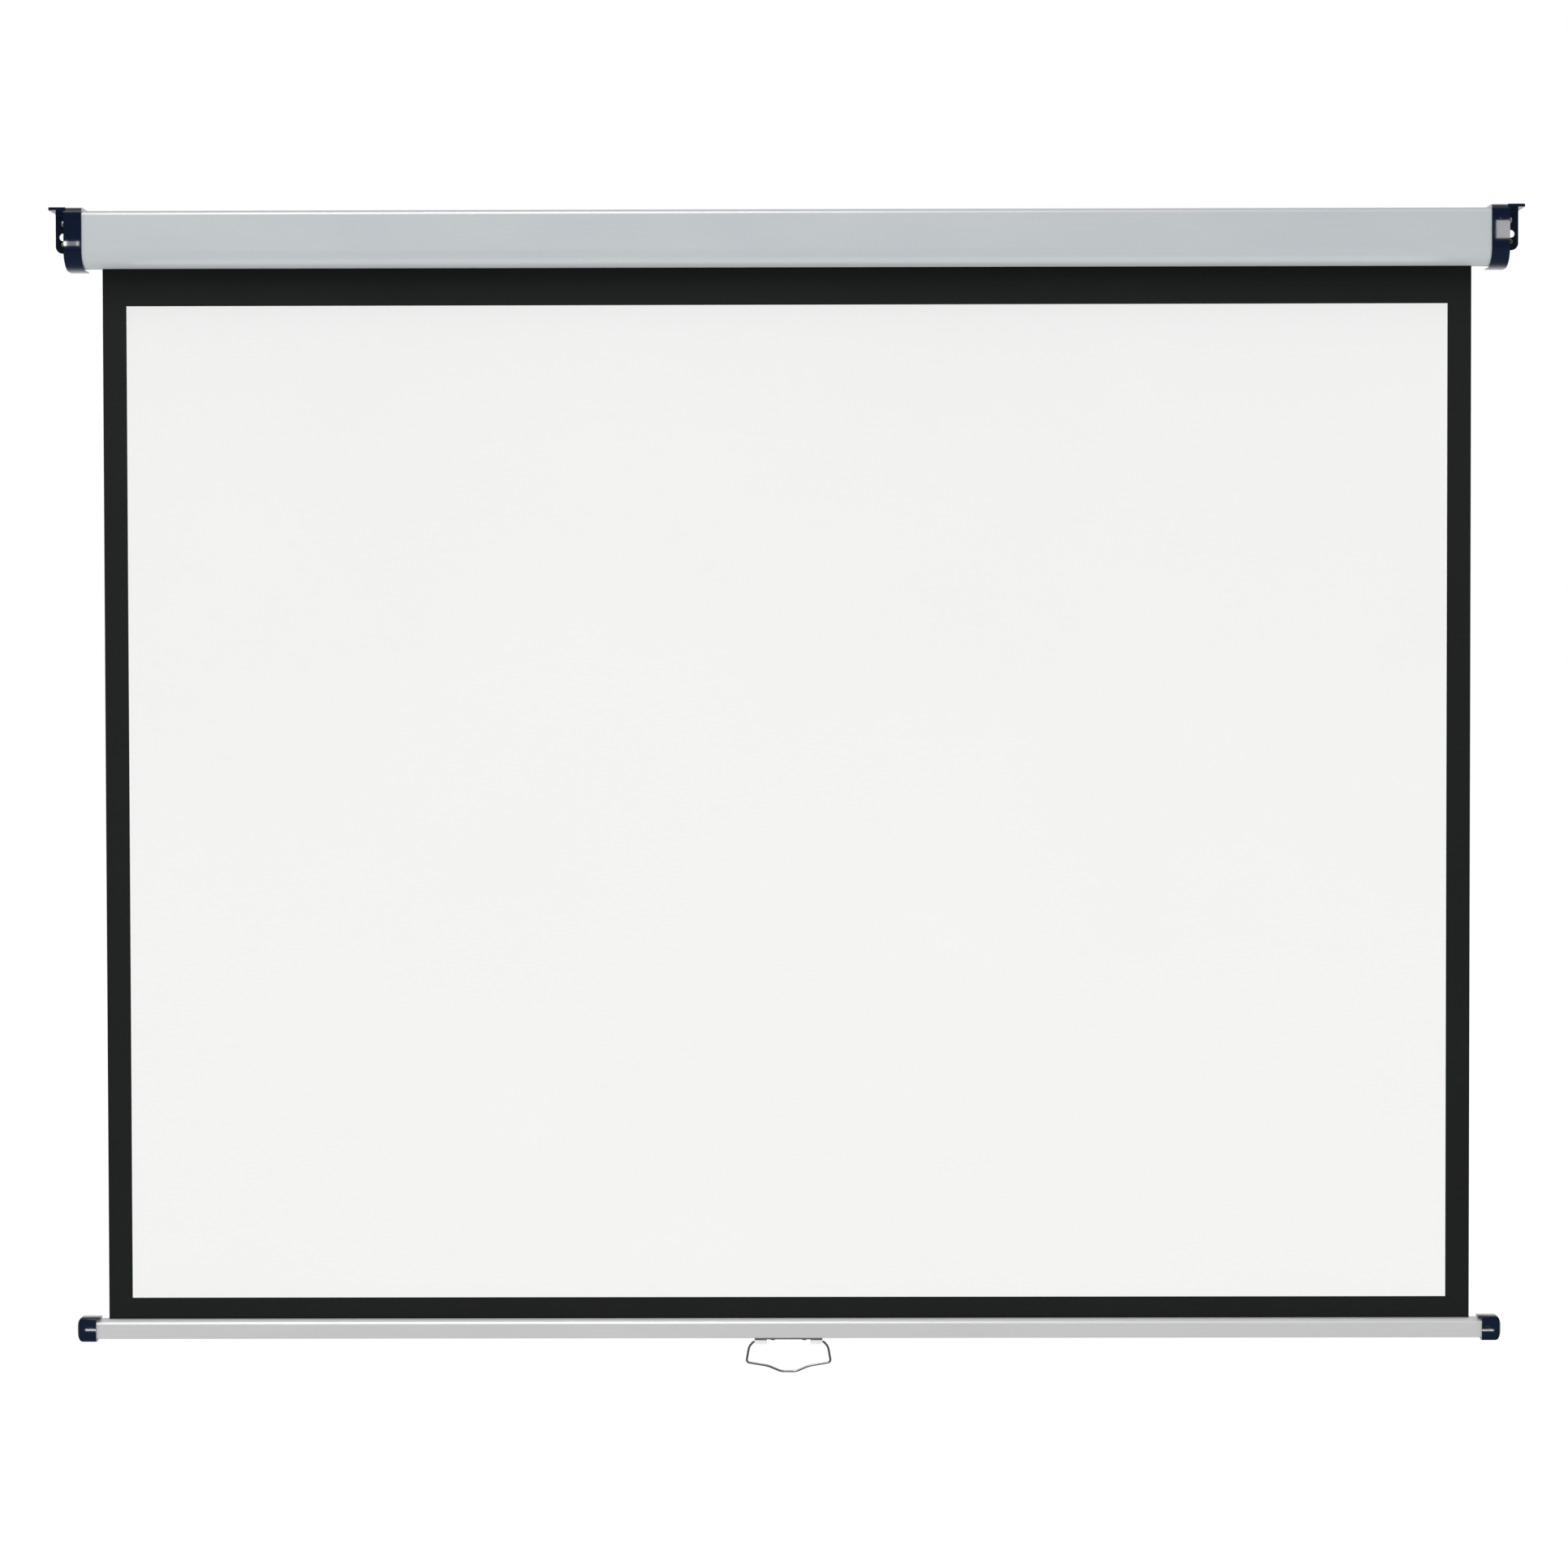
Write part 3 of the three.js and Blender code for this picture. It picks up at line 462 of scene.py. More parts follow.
def end_cap(side):
    band = drawn_out(hood(flange_top, 0, cap_wall), cap_inner, cap_outer)
    room = drawn_out(hood(flange_under, overrun, fit), cap_inner - overrun, cap_room)
    ceiling = outlined(rectangle((cap_room, cap_tip), (0, flange_front)), {2: tip_round}, 2, 8)
    ceiling = drawn_out(ceiling, flange_under, flange_top, 2)
    wall = outlined(((cap_room, flange_top), (cap_room, flange_foot), (cap_tip, flange_foot),
                     (cap_tip, flange_top)), {2: foot_round}, 1, 12)
    wall = drawn_out(wall, 0, -wall_flange, 1)
    rim = through_flange(rim_radius, seat_height, -wall_flange - rim_height, -wall_flange / 2)
    boss = rod(boss_radius, boss_inner, cap_room + 1, 48, roller_axis)
    fillets = (
        fillet((cap_outer, flange_under), (1, -1), 1, -wall_flange / 2, flange_front + tip_round),
        fillet((cap_outer, -wall_flange), (1, -1), 2, flange_foot, flange_under + 1),
        fillet((-wall_flange, flange_under), (-1, -1), 0, cap_outer - 1, cap_tip),
    )
    body = worked(band, "DIFFERENCE", room)
    body = worked(body, "UNION", ceiling, wall, rim, boss, *fillets)
    front = -wall_flange - overrun
    holes = [rod(port_bore, cap_room - overrun, cap_outer + overrun, 28, (0, *place))
             for place in port_places]
    holes += [rod(ceiling_hole_radius, flange_under - overrun, flange_top + overrun, 32,
                  (flange_middle, y, 0), upward) for y in ceiling_holes]
    holes += [
        through_flange(open_hole_radius, open_hole_height, front, overrun),
        through_flange(seat_radius, seat_height, front, seat_depth - wall_flange),
        through_flange(seat_bore, seat_height, front, overrun, 28),
    ]
    mouth = boss_inner - overrun
    if side < 0:
        holes.append(block((mouth, boss_inner + tongue_slot_depth),
                           about(axis_y, tongue_slot_half_y), about(axis_z, tongue_slot_half_z)))
    else:
        holes.append(rod(socket_radius, mouth, boss_inner + socket_depth, 48, roller_axis))
    return mirrored(worked(body, "DIFFERENCE", *holes), side)


cap_finish = navy_moulding()
sides = (("left", -1), ("right", 1))
for name, side in sides:
    piece(f"case_end_{name}", end_cap(side), cap_finish, "case", "cap_navy", f"end_cap_{name}",
          edge=0.35)


# Screws: pan heads with a cross recess. Two zinc plated ones fix each end cap to the case's screw
# ports, and a brass plated one sits in each wall flange's seat.
def plated_steel():
    material, feed = new_finish("zinc plate")
    cloud = grain(feed, 6)
    speck = grain(feed, 0.35, detail=3.0)
    dull = stepped(feed, grain(feed, 2.5, detail=4.0), 0.55, 0.8)
    coated(feed, {
        "Base Color": tint(feed, cloud, colour(168, 168, 166), colour(192, 193, 196)),
        "Metallic": 0.95 - 0.25 * dull,
        "Roughness": 0.26 + 0.12 * speck + 0.2 * dull,
        "Normal": relief(feed, speck, 0.02, 0.4),
    })
    return material


def brass():
    material, feed = new_finish("brass plate")
    cloud = grain(feed, 2)
    stain = stepped(feed, grain(feed, 1.1, detail=5.0), 0.5, 0.75)
    clean = tint(feed, cloud, colour(176, 152, 88), colour(198, 176, 110))
    coated(feed, {
        "Base Color": tint(feed, stain, clean, colour(120, 96, 52)),
        "Metallic": 0.95,
        "Roughness": 0.25 + 0.2 * stain,
        "Normal": relief(feed, stain, 0.02, 0.4),
    })
    return material


def pan_screw(radius, length, head, height, place, way):
    """A pan head screw. Its head's underside is at place, and the head points along way."""
    body = spun(((-length, 0), (-length + radius * 0.4, radius * 0.72), (-length + radius, radius),
                 (0, radius), (0, head * 0.97), (height * 0.12, head), (height * 0.45, head * 0.97),
                 (height * 0.75, head * 0.82), (height * 0.93, head * 0.55), (height, head * 0.2),
                 (height, 0)), 36)
    arm, width = head * 0.62, head * 0.13
    recess = [block((height * 0.4, height * 2), (-across, across), (-up, up))
              for across, up in ((width, arm), (arm, width))]
    body = worked(body, "DIFFERENCE", *recess)
    turn = Vector(along_case).rotation_difference(Vector(way)).to_matrix()
    bmesh.ops.rotate(body, cent=(0, 0, 0), matrix=turn, verts=body.verts)
    bmesh.ops.translate(body, vec=place, verts=body.verts)
    return body


zinc_plate = plated_steel()
brass_plate = brass()
seat_floor = seat_depth - wall_flange
for name, side in sides:
    for row, place in zip(("front", "rear"), port_places):
        screw = pan_screw(radius=1.9, length=14, head=3.5, height=2.3,
                          place=(side * (cap_outer + fit), *place), way=(side, 0, 0))
        piece(f"cap_screw_{name}_{row}", screw, zinc_plate, "case", "zinc_steel",
              f"case_screw_{name}_{row}", edge=0.08)
    screw = pan_screw(radius=2, length=1, head=3.12, height=1.4,
                      place=(side * flange_middle, seat_floor - fit, seat_height), way=(0, -1, 0))
    piece(f"wall_screw_{name}", screw, brass_plate, "case", "brass_plate", f"flange_screw_{name}",
          edge=0.08)


# Roller: thin steel tube, seam welded along its length, with a white nylon plug in each end and a
# cover outside the left one. It turns on the arbor at the left and the gudgeon pin at the right.
tube_radius = 16
tube_bore = 15.2
tube_half = 782
plug_radius = 14.9
plug_hollow = 12.5
plug_start = -776.5
plug_floor = -773.5
plug_end = -760.5
hub_end = -761.5
hub_radius = 6
right_plug_start = 766
weld_half = 0.5
weld_bead = 0.15
weld_skin = 0.04
cover_start = 782.3
cover_end = 784
arbor_bore = 3.3
gudgeon_bore = 4.3


def bare_steel():
    material, feed = new_finish("bright steel tube")
    drawn = grain(feed, 120, 0.8, 0.8)
    cloud = grain(feed, 30, 12, 12)
    coated(feed, {
        "Base Color": tint(feed, cloud, colour(150, 152, 154), colour(178, 180, 181)),
        "Metallic": 0.9,
        "Roughness": 0.28 + 0.2 * drawn,
        "Normal": relief(feed, drawn, 0.02, 0.5),
    })
    return material


def white_nylon():
    material, feed = new_finish("natural nylon")
    cloud = grain(feed, 9)
    fine = grain(feed, 0.6, detail=3.0)
    coated(feed, {
        "Base Color": tint(feed, cloud, colour(224, 222, 212), colour(236, 234, 227)),
        "Roughness": 0.42 + 0.12 * fine,
        "Subsurface Weight": 0.08,
        "Subsurface Scale": 0.002,
        "Normal": relief(feed, fine, 0.03, 0.4),
    })
    return material


def on_roller(profile, steps=64):
    return spun(profile, steps, roller_axis)


def sleeve(bore, radius, start, end, steps=64):
    """A plain ring about the roller's axis."""
    return on_roller(((start, bore), (start, radius), (end, radius), (end, bore)), steps)


nylon = white_nylon()
weld = block(about(0, tube_half), about(axis_y, weld_half),
             (axis_z + tube_bore - weld_bead, axis_z + tube_radius - weld_skin))
tube = worked(sleeve(tube_bore, tube_radius, -tube_half, tube_half, 96), "UNION", weld)
piece("roller_tube_steel", tube, bare_steel(), "roller", "zinc_steel", "roller_tube", edge=0.15)
left_plug = on_roller((
    (plug_start, arbor_bore), (plug_start, plug_radius), (plug_end, plug_radius),
    (plug_end, plug_hollow), (plug_floor, plug_hollow), (plug_floor, hub_radius),
    (hub_end, hub_radius), (hub_end, arbor_bore)))
piece("roller_plug_left", left_plug, nylon, "roller", "nylon_white", "roller_plug_spring",
      edge=0.25)
piece("roller_cover_left", sleeve(arbor_bore + fit, tube_radius, -cover_end, -cover_start), nylon,
      "roller", "nylon_white", "roller_cover", edge=0.3)
right_plug = on_roller((
    (right_plug_start, gudgeon_bore), (right_plug_start, plug_radius), (cover_start, plug_radius),
    (cover_start, tube_radius), (cover_end, tube_radius), (cover_end, gudgeon_bore)))
piece("roller_plug_right", right_plug, nylon, "roller", "nylon_white", "roller_plug_idler",
      edge=0.25)


# Right bearing: the steel gudgeon pin, pressed in the roller's plug, turns in a nylon bush in the
# end cap, with a nylon washer between. The left washer runs on the arbor.
pin_radius = 4
pin_start = 763.9
bush_radius = 6.9
bush_end = 797.9
washer_radius = 9
washer_start = 784.3
washer_end = 785.9
piece("gudgeon", rod(pin_radius, pin_start, bush_end, 40, roller_axis), zinc_plate, "roller",
      "zinc_steel", "gudgeon_pin", edge=0.5)
piece("bush_right", sleeve(gudgeon_bore, bush_radius, boss_inner, bush_end, 48), nylon, "case",
      "nylon_white", "idler_bush", edge=0.25)
piece("washer_right", sleeve(gudgeon_bore, washer_radius, washer_start, washer_end, 48), nylon,
      "case", "nylon_white", "idler_washer", edge=0.25)
piece("washer_left", sleeve(arbor_bore, washer_radius, -washer_end, -washer_start, 48), nylon,
      "case", "nylon_white", "arbor_washer", edge=0.25)


# Lock and spring, at the left. The arbor's flat tongue is held in the end cap, the ratchet disc
# is fixed on it, and two steel pawls on the roller drop into the disc's notches. The spring's
# right end grips a nylon anchor pinned to the arbor.
arbor_radius = 3
arbor_start = -805.9
arbor_end = -562.3
tongue_half = 1.5
flat_reach = 4
anchor_start = -576.3
cross_pin_place = -569.3
cross_pin_bore = 1.3
cross_pin_radius = 0.97
cross_pin_half = 6
disc_start = -779.8
disc_end = -776.8
disc_radius = 6.5
notch_range = (-784, -774)
notch_half = 2
notch_depth = 2.6
notch_turn = math.radians(40 - 90)
pawl_pin_height = 10.808
pawl_pin_radius = 1.17
spring_start = -771.9
spring_length = 208
spring_radius = 7.79
spring_wire = 0.8
spring_turns = 26
turn_parts = 24


def cross_pin(radius, half):
    return rod(radius, -half, half, 28, (cross_pin_place, axis_y, axis_z), (0, 1, 0))


def around(radius, angle):
    """The y and z of a point round the roller's axis."""
    return axis_y + radius * math.cos(angle), axis_z + radius * math.sin(angle)


def oiled_steel():
    material, feed = new_finish("oiled spring steel")
    film = grain(feed, 8, detail=4.0)
    drawn = grain(feed, 0.4)
    coated(feed, {
        "Base Color": tint(feed, film, colour(74, 77, 82), colour(104, 106, 108)),
        "Metallic": 0.9,
        "Roughness": 0.22 + 0.25 * film,
        "Normal": relief(feed, drawn, 0.01, 0.4),
    })
    return material


def from_cad(node, name, material, body, slot, edge):
    """A merged copy of a CAD node whose own form is right, with broken edges."""
    shape = bmesh.new()
    shape.from_mesh(frame["nodes"][node].data)
    bmesh.ops.scale(shape, vec=(1 / MM, 1 / MM, 1 / MM), verts=shape.verts)
    return piece(name, cleaned(shape, 0.5), material, body, slot, node, edge=edge)


def bent_wire(name, points, radius, material, body, slot, node, roundness):
    """A round wire along points, closed at both ends."""
    line = bpy.data.curves.new(name, "CURVE")
    line.dimensions = "3D"
    line.bevel_depth = radius
    line.bevel_resolution = roundness
    line.use_fill_caps = True
    spline = line.splines.new("POLY")
    spline.points.add(len(points) - 1)
    for spot, place in zip(spline.points, points):
        spot.co = (*place, 1)
    guide = bpy.data.objects.new(name, line)
    bpy.context.scene.collection.objects.link(guide)
    shape = bmesh.new()
    shape.from_mesh(guide.to_mesh())
    bpy.data.objects.remove(guide)
    bmesh.ops.remove_doubles(shape, verts=shape.verts, dist=same_point)
    bmesh.ops.recalc_face_normals(shape, faces=shape.faces)
    return piece(name, shape, material, body, slot, node, edge=0, crease=50)


arbor = rod(arbor_radius, arbor_start, arbor_end, 40, roller_axis)
flats = [block((arbor_start - 1, -washer_end), y_range, about(axis_z, flat_reach))
         for y_range in ((axis_y + tongue_half, axis_y + flat_reach),
                         (axis_y - flat_reach, axis_y - tongue_half))]
arbor = worked(arbor, "DIFFERENCE", *flats, cross_pin(cross_pin_bore, arbor_radius + overrun))
piece("arbor", arbor, zinc_plate, "case", "zinc_steel", "arbor_rod", edge=0.2)
anchor = worked(sleeve(arbor_bore, hub_radius, anchor_start, arbor_end, 48), "DIFFERENCE",
                cross_pin(cross_pin_bore, hub_radius + overrun))
piece("anchor", anchor, nylon, "case", "nylon_white", "spring_anchor", edge=0.25)
notches = []
for turn in (0, math.pi):
    notch = block(notch_range, about(0, notch_half), about(disc_radius, notch_depth))
    bmesh.ops.rotate(notch, cent=(0, 0, 0), matrix=Matrix.Rotation(turn + notch_turn, 3, "X"),
                     verts=notch.verts)
    bmesh.ops.translate(notch, vec=roller_axis, verts=notch.verts)
    notches.append(notch)
disc = worked(sleeve(arbor_bore, disc_radius, disc_start, disc_end, 72), "DIFFERENCE", *notches)
piece("ratchet", disc, zinc_plate, "case", "zinc_steel", "ratchet_disc", edge=0.12)
oiled = oiled_steel()
piece("anchor_cross_pin", cross_pin(cross_pin_radius, cross_pin_half), oiled, "case",
      "spring_steel", "anchor_pin", edge=0.2)
for name, way in (("upper", 1), ("lower", -1)):
    from_cad(f"pawl_{name}", f"lock_pawl_{name}", zinc_plate, f"{name}_pawl", "zinc_steel", 0.15)
    pin = rod(pawl_pin_radius, disc_start - fit, disc_end, 28,
              (0, axis_y, axis_z + way * pawl_pin_height))
    piece(f"lock_pin_{name}", pin, oiled, "roller", "spring_steel", f"pawl_pin_{name}", edge=0.2)
coil_parts = spring_turns * turn_parts
coil = [(spring_start + spring_length * part / coil_parts,
         *around(spring_radius, 2 * math.pi * part / turn_parts)) for part in range(coil_parts + 1)]
bent_wire("spring_coil", coil, spring_wire, oiled, "roller", "spring_steel", "torsion_spring", 2)


# Cloth: woven glass coated on both sides, black, with a matt white picture area on its front. It
# hangs from the back of the roller, and its last turns stay wound on the tube. The foot goes into
# the bar's slot.
cloth_thickness = 0.4
coat_thickness = 0.1
cloth_cells = (148, 118)
wave_depth = 0.75
waves = ((0.5, 5.2, 0.6, 2.2), (0.3, 13.7, -1.1, 3.1), (0.25, 29.0, 2.0, -1.4))
still_share = 0.04
turns = 2.45
turn_steps = 96
turn_pitch = 0.33
wound_radius = 17.24
wound_thickness = 0.26
wound_half = 777
wound_mean = 17
one_a_unit = 0.314  # the scale at which a Wave texture repeats once in each unit


def weave(feed, pitch):
    """The cloth's plain weave on its flat pattern: threads this many millimetres apart."""
    flat = feed.node("UVMap", {"uv_map": "flat"})
    spacing = 1 / pitch / MM
    warp, weft = [
        feed.node("TexWave", {"wave_type": "BANDS", "bands_direction": way, "wave_profile": "SIN"},
                  {"Vector": feed.node("Mapping", sockets={"Vector": flat, "Scale": scale}),
                   "Scale": one_a_unit}, out=1)
        for way, scale in (("X", (spacing, 1, 1)), ("Y", (1, spacing, 1)))]
    return warp + weft


def cloth_grain(feed, across, up, detail=2.0):
    """Soft clouds from 0 to 1 on the flat pattern, of these sizes in millimetres."""
    flat = feed.node("UVMap", {"uv_map": "flat"})
    sized = feed.node("Mapping", sockets={"Vector": flat,
                                          "Scale": (1 / across / MM, 1 / up / MM, 1)})
    return feed.node("TexNoise", sockets={"Vector": sized, "Scale": 1.0, "Detail": detail,
                                          "Roughness": 0.6})


def white_coat():
    material, feed = new_finish("matt white coat")
    cloud = cloth_grain(feed, 420, 320)
    fine = cloth_grain(feed, 1.4, 1.4, 3.0)
    slub = cloth_grain(feed, 60, 1.5)
    mixed = cloud * 0.5 + fine * 0.3 + slub * 0.2
    coated(feed, {
        "Base Color": tint(feed, mixed, colour(238, 238, 237), colour(244, 244, 243)),
        "Roughness": 0.86 + 0.1 * fine,
        "Specular IOR Level": 0.3,
        "Normal": relief(feed, weave(feed, 0.9) * 0.25 + fine * 0.5 + slub * 0.2, 0.06, 0.35),
    })
    return material


def black_weave(name, dark, light):
    material, feed = new_finish(name)
    cloud = cloth_grain(feed, 200, 160)
    fine = cloth_grain(feed, 0.9, 0.9, 3.0)
    slub = cloth_grain(feed, 45, 1.1)
    coated(feed, {
        "Base Color": tint(feed, cloud * 0.35 + fine * 0.4 + slub * 0.25, dark, light),
        "Roughness": 0.72 + 0.14 * fine,
        "Specular IOR Level": 0.2,
        "Normal": relief(feed, weave(feed, 0.8) * 0.4 + fine * 0.4 + slub * 0.2, 0.1, 0.5),
    })
    return material


def flat_map(shape, flat_place):
    """Each point's place on the flat cloth, in metres, kept as the map that the weave follows."""
    flat = shape.loops.layers.uv.new("flat")
    for face in shape.faces:
        for loop in face.loops:
            loop[flat].uv = [length * MM for length in flat_place(loop.vert.co)]


carrier_low, carrier_high = [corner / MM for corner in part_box("carrier_cloth")]
picture_low, picture_high = [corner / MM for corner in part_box("picture_surface")]
cloth_width = carrier_high.x - carrier_low.x
cloth_height = carrier_high.z - carrier_low.z
cloth_middle = (carrier_low.z + carrier_high.z) / 2
cloth = bmesh.new()
bmesh.ops.create_grid(cloth, x_segments=cloth_cells[0], y_segments=cloth_cells[1], size=0.5)
bmesh.ops.scale(cloth, vec=(cloth_width, cloth_height, 1), verts=cloth.verts)
bmesh.ops.rotate(cloth, cent=(0, 0, 0), matrix=Matrix.Rotation(math.radians(90), 3, "X"),
                 verts=cloth.verts)
bmesh.ops.translate(cloth, vec=(0, carrier_low.y - coat_thickness, cloth_middle),
                    verts=cloth.verts)
for corner, square in ((picture_low, along_case), (picture_high, along_case),
                       (picture_low, upward), (picture_high, upward)):
    bmesh.ops.bisect_plane(cloth, geom=cloth.verts[:] + cloth.edges[:] + cloth.faces[:],
                           plane_co=corner * Vector(square), plane_no=square, dist=same_point)
for face in cloth.faces:
    middle = face.calc_center_median()
    inside = picture_low.x < middle.x < picture_high.x and picture_low.z < middle.z < picture_high.z
    face.material_index = 0 if inside else 1
flat_map(cloth, lambda spot: (spot.x - carrier_low.x, spot.z - carrier_low.z))
for vert in cloth.verts:
    across = vert.co.x / cloth_width
    down = (carrier_high.z - vert.co.z) / cloth_height
    free = min(1, max(0, (down - still_share) / (1 - still_share)))
    wave = sum(depth * math.sin(count * across + shift + slant * down)
               for depth, count, shift, slant in waves)
    vert.co.y += wave_depth * wave * math.sin(math.pi * free) ** 0.5
bmesh.ops.recalc_face_normals(cloth, faces=cloth.faces)
cloth.faces.ensure_lookup_table()
if cloth.faces[0].normal.y > 0:
    bmesh.ops.reverse_faces(cloth, faces=cloth.faces)
bmesh.ops.solidify(cloth, geom=cloth.faces[:], thickness=cloth_thickness)
for face in cloth.faces:
    if face.normal.y > -0.5:
        face.material_index = 2
screen_cloth = piece("screen_cloth", cloth, white_coat(), "case", "cloth_white", "carrier_cloth",
                     "picture_surface", edge=0)
border = black_weave("black border", colour(14, 19, 17), colour(27, 32, 30))
screen_cloth.data.materials.append(border)
screen_cloth.data.materials.append(
    black_weave("black cloth back", colour(17, 19, 19), colour(30, 32, 32)))
screen_drop = next(joint for joint in frame["joints"] if joint["name"] == "screen_drop")
travel = screen_drop["range_m"][1] / MM
1 - travel / cloth_height
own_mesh(screen_cloth)

wound = bmesh.new()
spiral = []
for step in range(round(turns * turn_steps) + 1):
    angle = 2 * math.pi * step / turn_steps
    radius = wound_radius - turn_pitch * angle / (2 * math.pi)
    spiral.append(wound.verts.new((-wound_half, *around(radius, angle))))
for pair in zip(spiral, spiral[1:]):
    wound.edges.new(pair)
drawn_sheet(wound, 2 * wound_half)
flat_map(wound,
         lambda spot: (spot.x, math.atan2(spot.z - axis_z, spot.y - axis_y) * wound_mean))
bmesh.ops.solidify(wound, geom=wound.faces[:], thickness=wound_thickness)
cloth_turns = piece("wound_cloth", wound, border, "roller", "cloth_black", "cloth_wraps", edge=0)


# Weight bar: hollow aluminium profile with a flat back, a sloping brow and rounded feet, coated
# light silver. The cloth's foot passes the slot in its top, and the hem rod holds it in the round
# cavity below.
bar_centre = -13.125
bar_top = -1227.5
bar_half = 805
bar_height = 22.5
bar_depth = 17
bar_wall = 1.4
bar_slope = 5
bar_round = 2.2
slope_round = 2.6
hem_height = bar_top - 6.4
hem_cavity = 3.7
hem_wall = 1.4
slot_half = 1.2
neck_gap = 0.4
hem_rod_radius = 2.145
rivet_reach = 18
rivet_hole = 1.9
rivet_hole_low = bar_top - 27
rivet_hole_high = bar_top - 16


def silver_bar():
    material, feed = new_finish("silver bar coat")
    drawn = grain(feed, 320, 0.9, 0.9)
    cloud = grain(feed, 140, 30, 30)
    peel = grain(feed, 1.5)
    coated(feed, {
        "Base Color": tint(feed, drawn * 0.5 + cloud * 0.5, colour(195, 195, 197),
                           colour(209, 209, 210)),
        "Metallic": 0.1,
        "Roughness": 0.3 + 0.12 * drawn,
        "Coat Weight": 0.8,
        "Coat Roughness": 0.2,
        "Normal": relief(feed, peel + drawn * 0.5, 0.04),
    })
    return material


def bar_section(inset):
    """Outline of the bar, this far inside its skin."""
    front, back = bar_centre - bar_depth / 2 + inset, bar_centre + bar_depth / 2 - inset
    top, foot = bar_top - inset, bar_top - bar_height + inset
    slope = bar_slope - inset / 2
    corner = bar_round - inset / 2
    return outlined(((back, foot), (back, top), (front + slope, top), (front, top - slope),
                     (front, foot)),
                    {0: corner, 1: corner, 2: slope_round, 3: slope_round, 4: corner}, steps=8)


def in_cavity(radius, half, steps=40):
    """A round bar along the middle of the hem's cavity."""
    return rod(radius, -half, half, steps, (0, bar_centre, hem_height))


def upright(radius, x, low, high):
    return rod(radius, low, high, 32, (x, bar_centre, 0), upward)


def hole_pair(x, low, high):
    return [upright(rivet_hole, side * x, low, high) for side in (-1, 1)]


bar_reach = bar_half + overrun
shell = worked(drawn_out(bar_section(0), -bar_half, bar_half), "DIFFERENCE",
               drawn_out(bar_section(bar_wall), -bar_reach, bar_reach))
neck = block(about(0, bar_half), about(bar_centre, slot_half + hem_wall),
             (hem_height, bar_top - neck_gap))
shell = worked(shell, "UNION", in_cavity(hem_cavity + hem_wall, bar_half), neck)
mouth = block(about(0, bar_reach), about(bar_centre, slot_half), (hem_height, bar_top + overrun))
shell = worked(shell, "DIFFERENCE", in_cavity(hem_cavity, bar_reach), mouth,
               *hole_pair(rivet_reach, rivet_hole_low, rivet_hole_high))
piece("weight_bar_profile", shell, silver_bar(), "bar", "bar_silver", "weight_bar", edge=0.25)
piece("hem_rod_nylon", in_cavity(hem_rod_radius, bar_half, 28), nylon, "bar", "nylon_white",
      "hem_rod", edge=0.3)


# Bar end caps: the same navy moulding, pushed over the bar's ends. Each is a rounded block, domed
# outside, taller than the bar and with a lip over its top.
bar_cap_inner = 790.9
bar_cap_outer = 812.8
bar_cap_top = -1224.6
bar_cap_foot = -1253.3
bar_cap_wall = 1.8
lip_reach = 4.4
dome_depth = 7
section_round = 4.5
plan_round = 6.5


def bar_cap(side):
    """The form that three outlines share: from the front, from the end and from above."""
    middle = (bar_cap_top + bar_cap_foot) / 2
    half_height = (bar_cap_top - bar_cap_foot) / 2
    dome = bmesh.new()
    tip = dome.verts.new((bar_cap_outer, 0, middle))
    upper = swept(dome, tip, (bar_cap_outer - half_height, 0, middle), (0, 1, 0), -math.pi / 2, 16)
    bmesh.ops.scale(dome, vec=(dome_depth / half_height, 1, 1),
                    space=Matrix.Translation((-bar_cap_outer, 0, 0)), verts=upper)
    lower = [dome.verts.new((vert.co.x, 0, 2 * middle - vert.co.z)) for vert in upper[1:]]
    lip_end, lip_foot = bar_cap_inner - lip_reach, bar_top + fit
    lip = [dome.verts.new((x, 0, z)) for x, z in (
        (lip_end, bar_cap_top), (lip_end, lip_foot), (bar_cap_inner, lip_foot),
        (bar_cap_inner, bar_cap_foot))]
    dome.faces.new([*upper, *lip, *reversed(lower)])
    depth = about(bar_centre, bar_depth / 2 + bar_cap_wall)
    start = bar_cap_inner - 2 * overrun
    section = outlined(rectangle(depth, (bar_cap_foot, bar_cap_top)),
                       {index: section_round for index in range(4)}, steps=12)
    plan = outlined(rectangle((start, bar_cap_outer), depth), {1: plan_round, 2: plan_round}, 2, 12)
    body = worked(drawn_out(dome, *depth, 1), "INTERSECT",
                  drawn_out(section, start, bar_cap_outer + overrun),
                  drawn_out(plan, bar_cap_foot - overrun, bar_cap_top + overrun, 2))
    body = worked(body, "DIFFERENCE", drawn_out(bar_section(-fit), start, bar_half + fit))
    return mirrored(body, side)


for name, side in sides:
    piece(f"bar_end_{name}", bar_cap(side), cap_finish, "bar", "cap_navy", f"bar_cap_{name}",
          edge=0.45, crease=50)


# Handle plate: zinc plated steel strip with its ends folded under. Two blind rivets hold it to
# the bar, and the stud of a white nylon bearing is pressed into each folded end.
plate_half = 38.7
plate_top = -1250.3
plate_depth = about(bar_centre, 6.5)
plate_round = 0.6
strip_foot = -1251.5
fold_foot = -1252.2
fold_overlap = 0.5
bearing_inner = 25
bearing_middle = 31.85
rivet_profile = (
    (-1253.4, 0), (-1253.34, 0.9), (-1253.1, 1.75), (-1252.72, 2.5), (fold_foot, 3.05),
    (-1251.8, 3.22), (-1251.8, 1.6), (-1248.3, 1.6), (-1248.3, 2.2), (-1247.2, 2.05),
    (-1246.7, 1.4), (-1246.7, 0))
strip = outlined(rectangle(about(0, plate_half), plate_depth),
                 {index: plate_round for index in range(4)}, 2)
strip = drawn_out(strip, strip_foot, plate_top, 2)
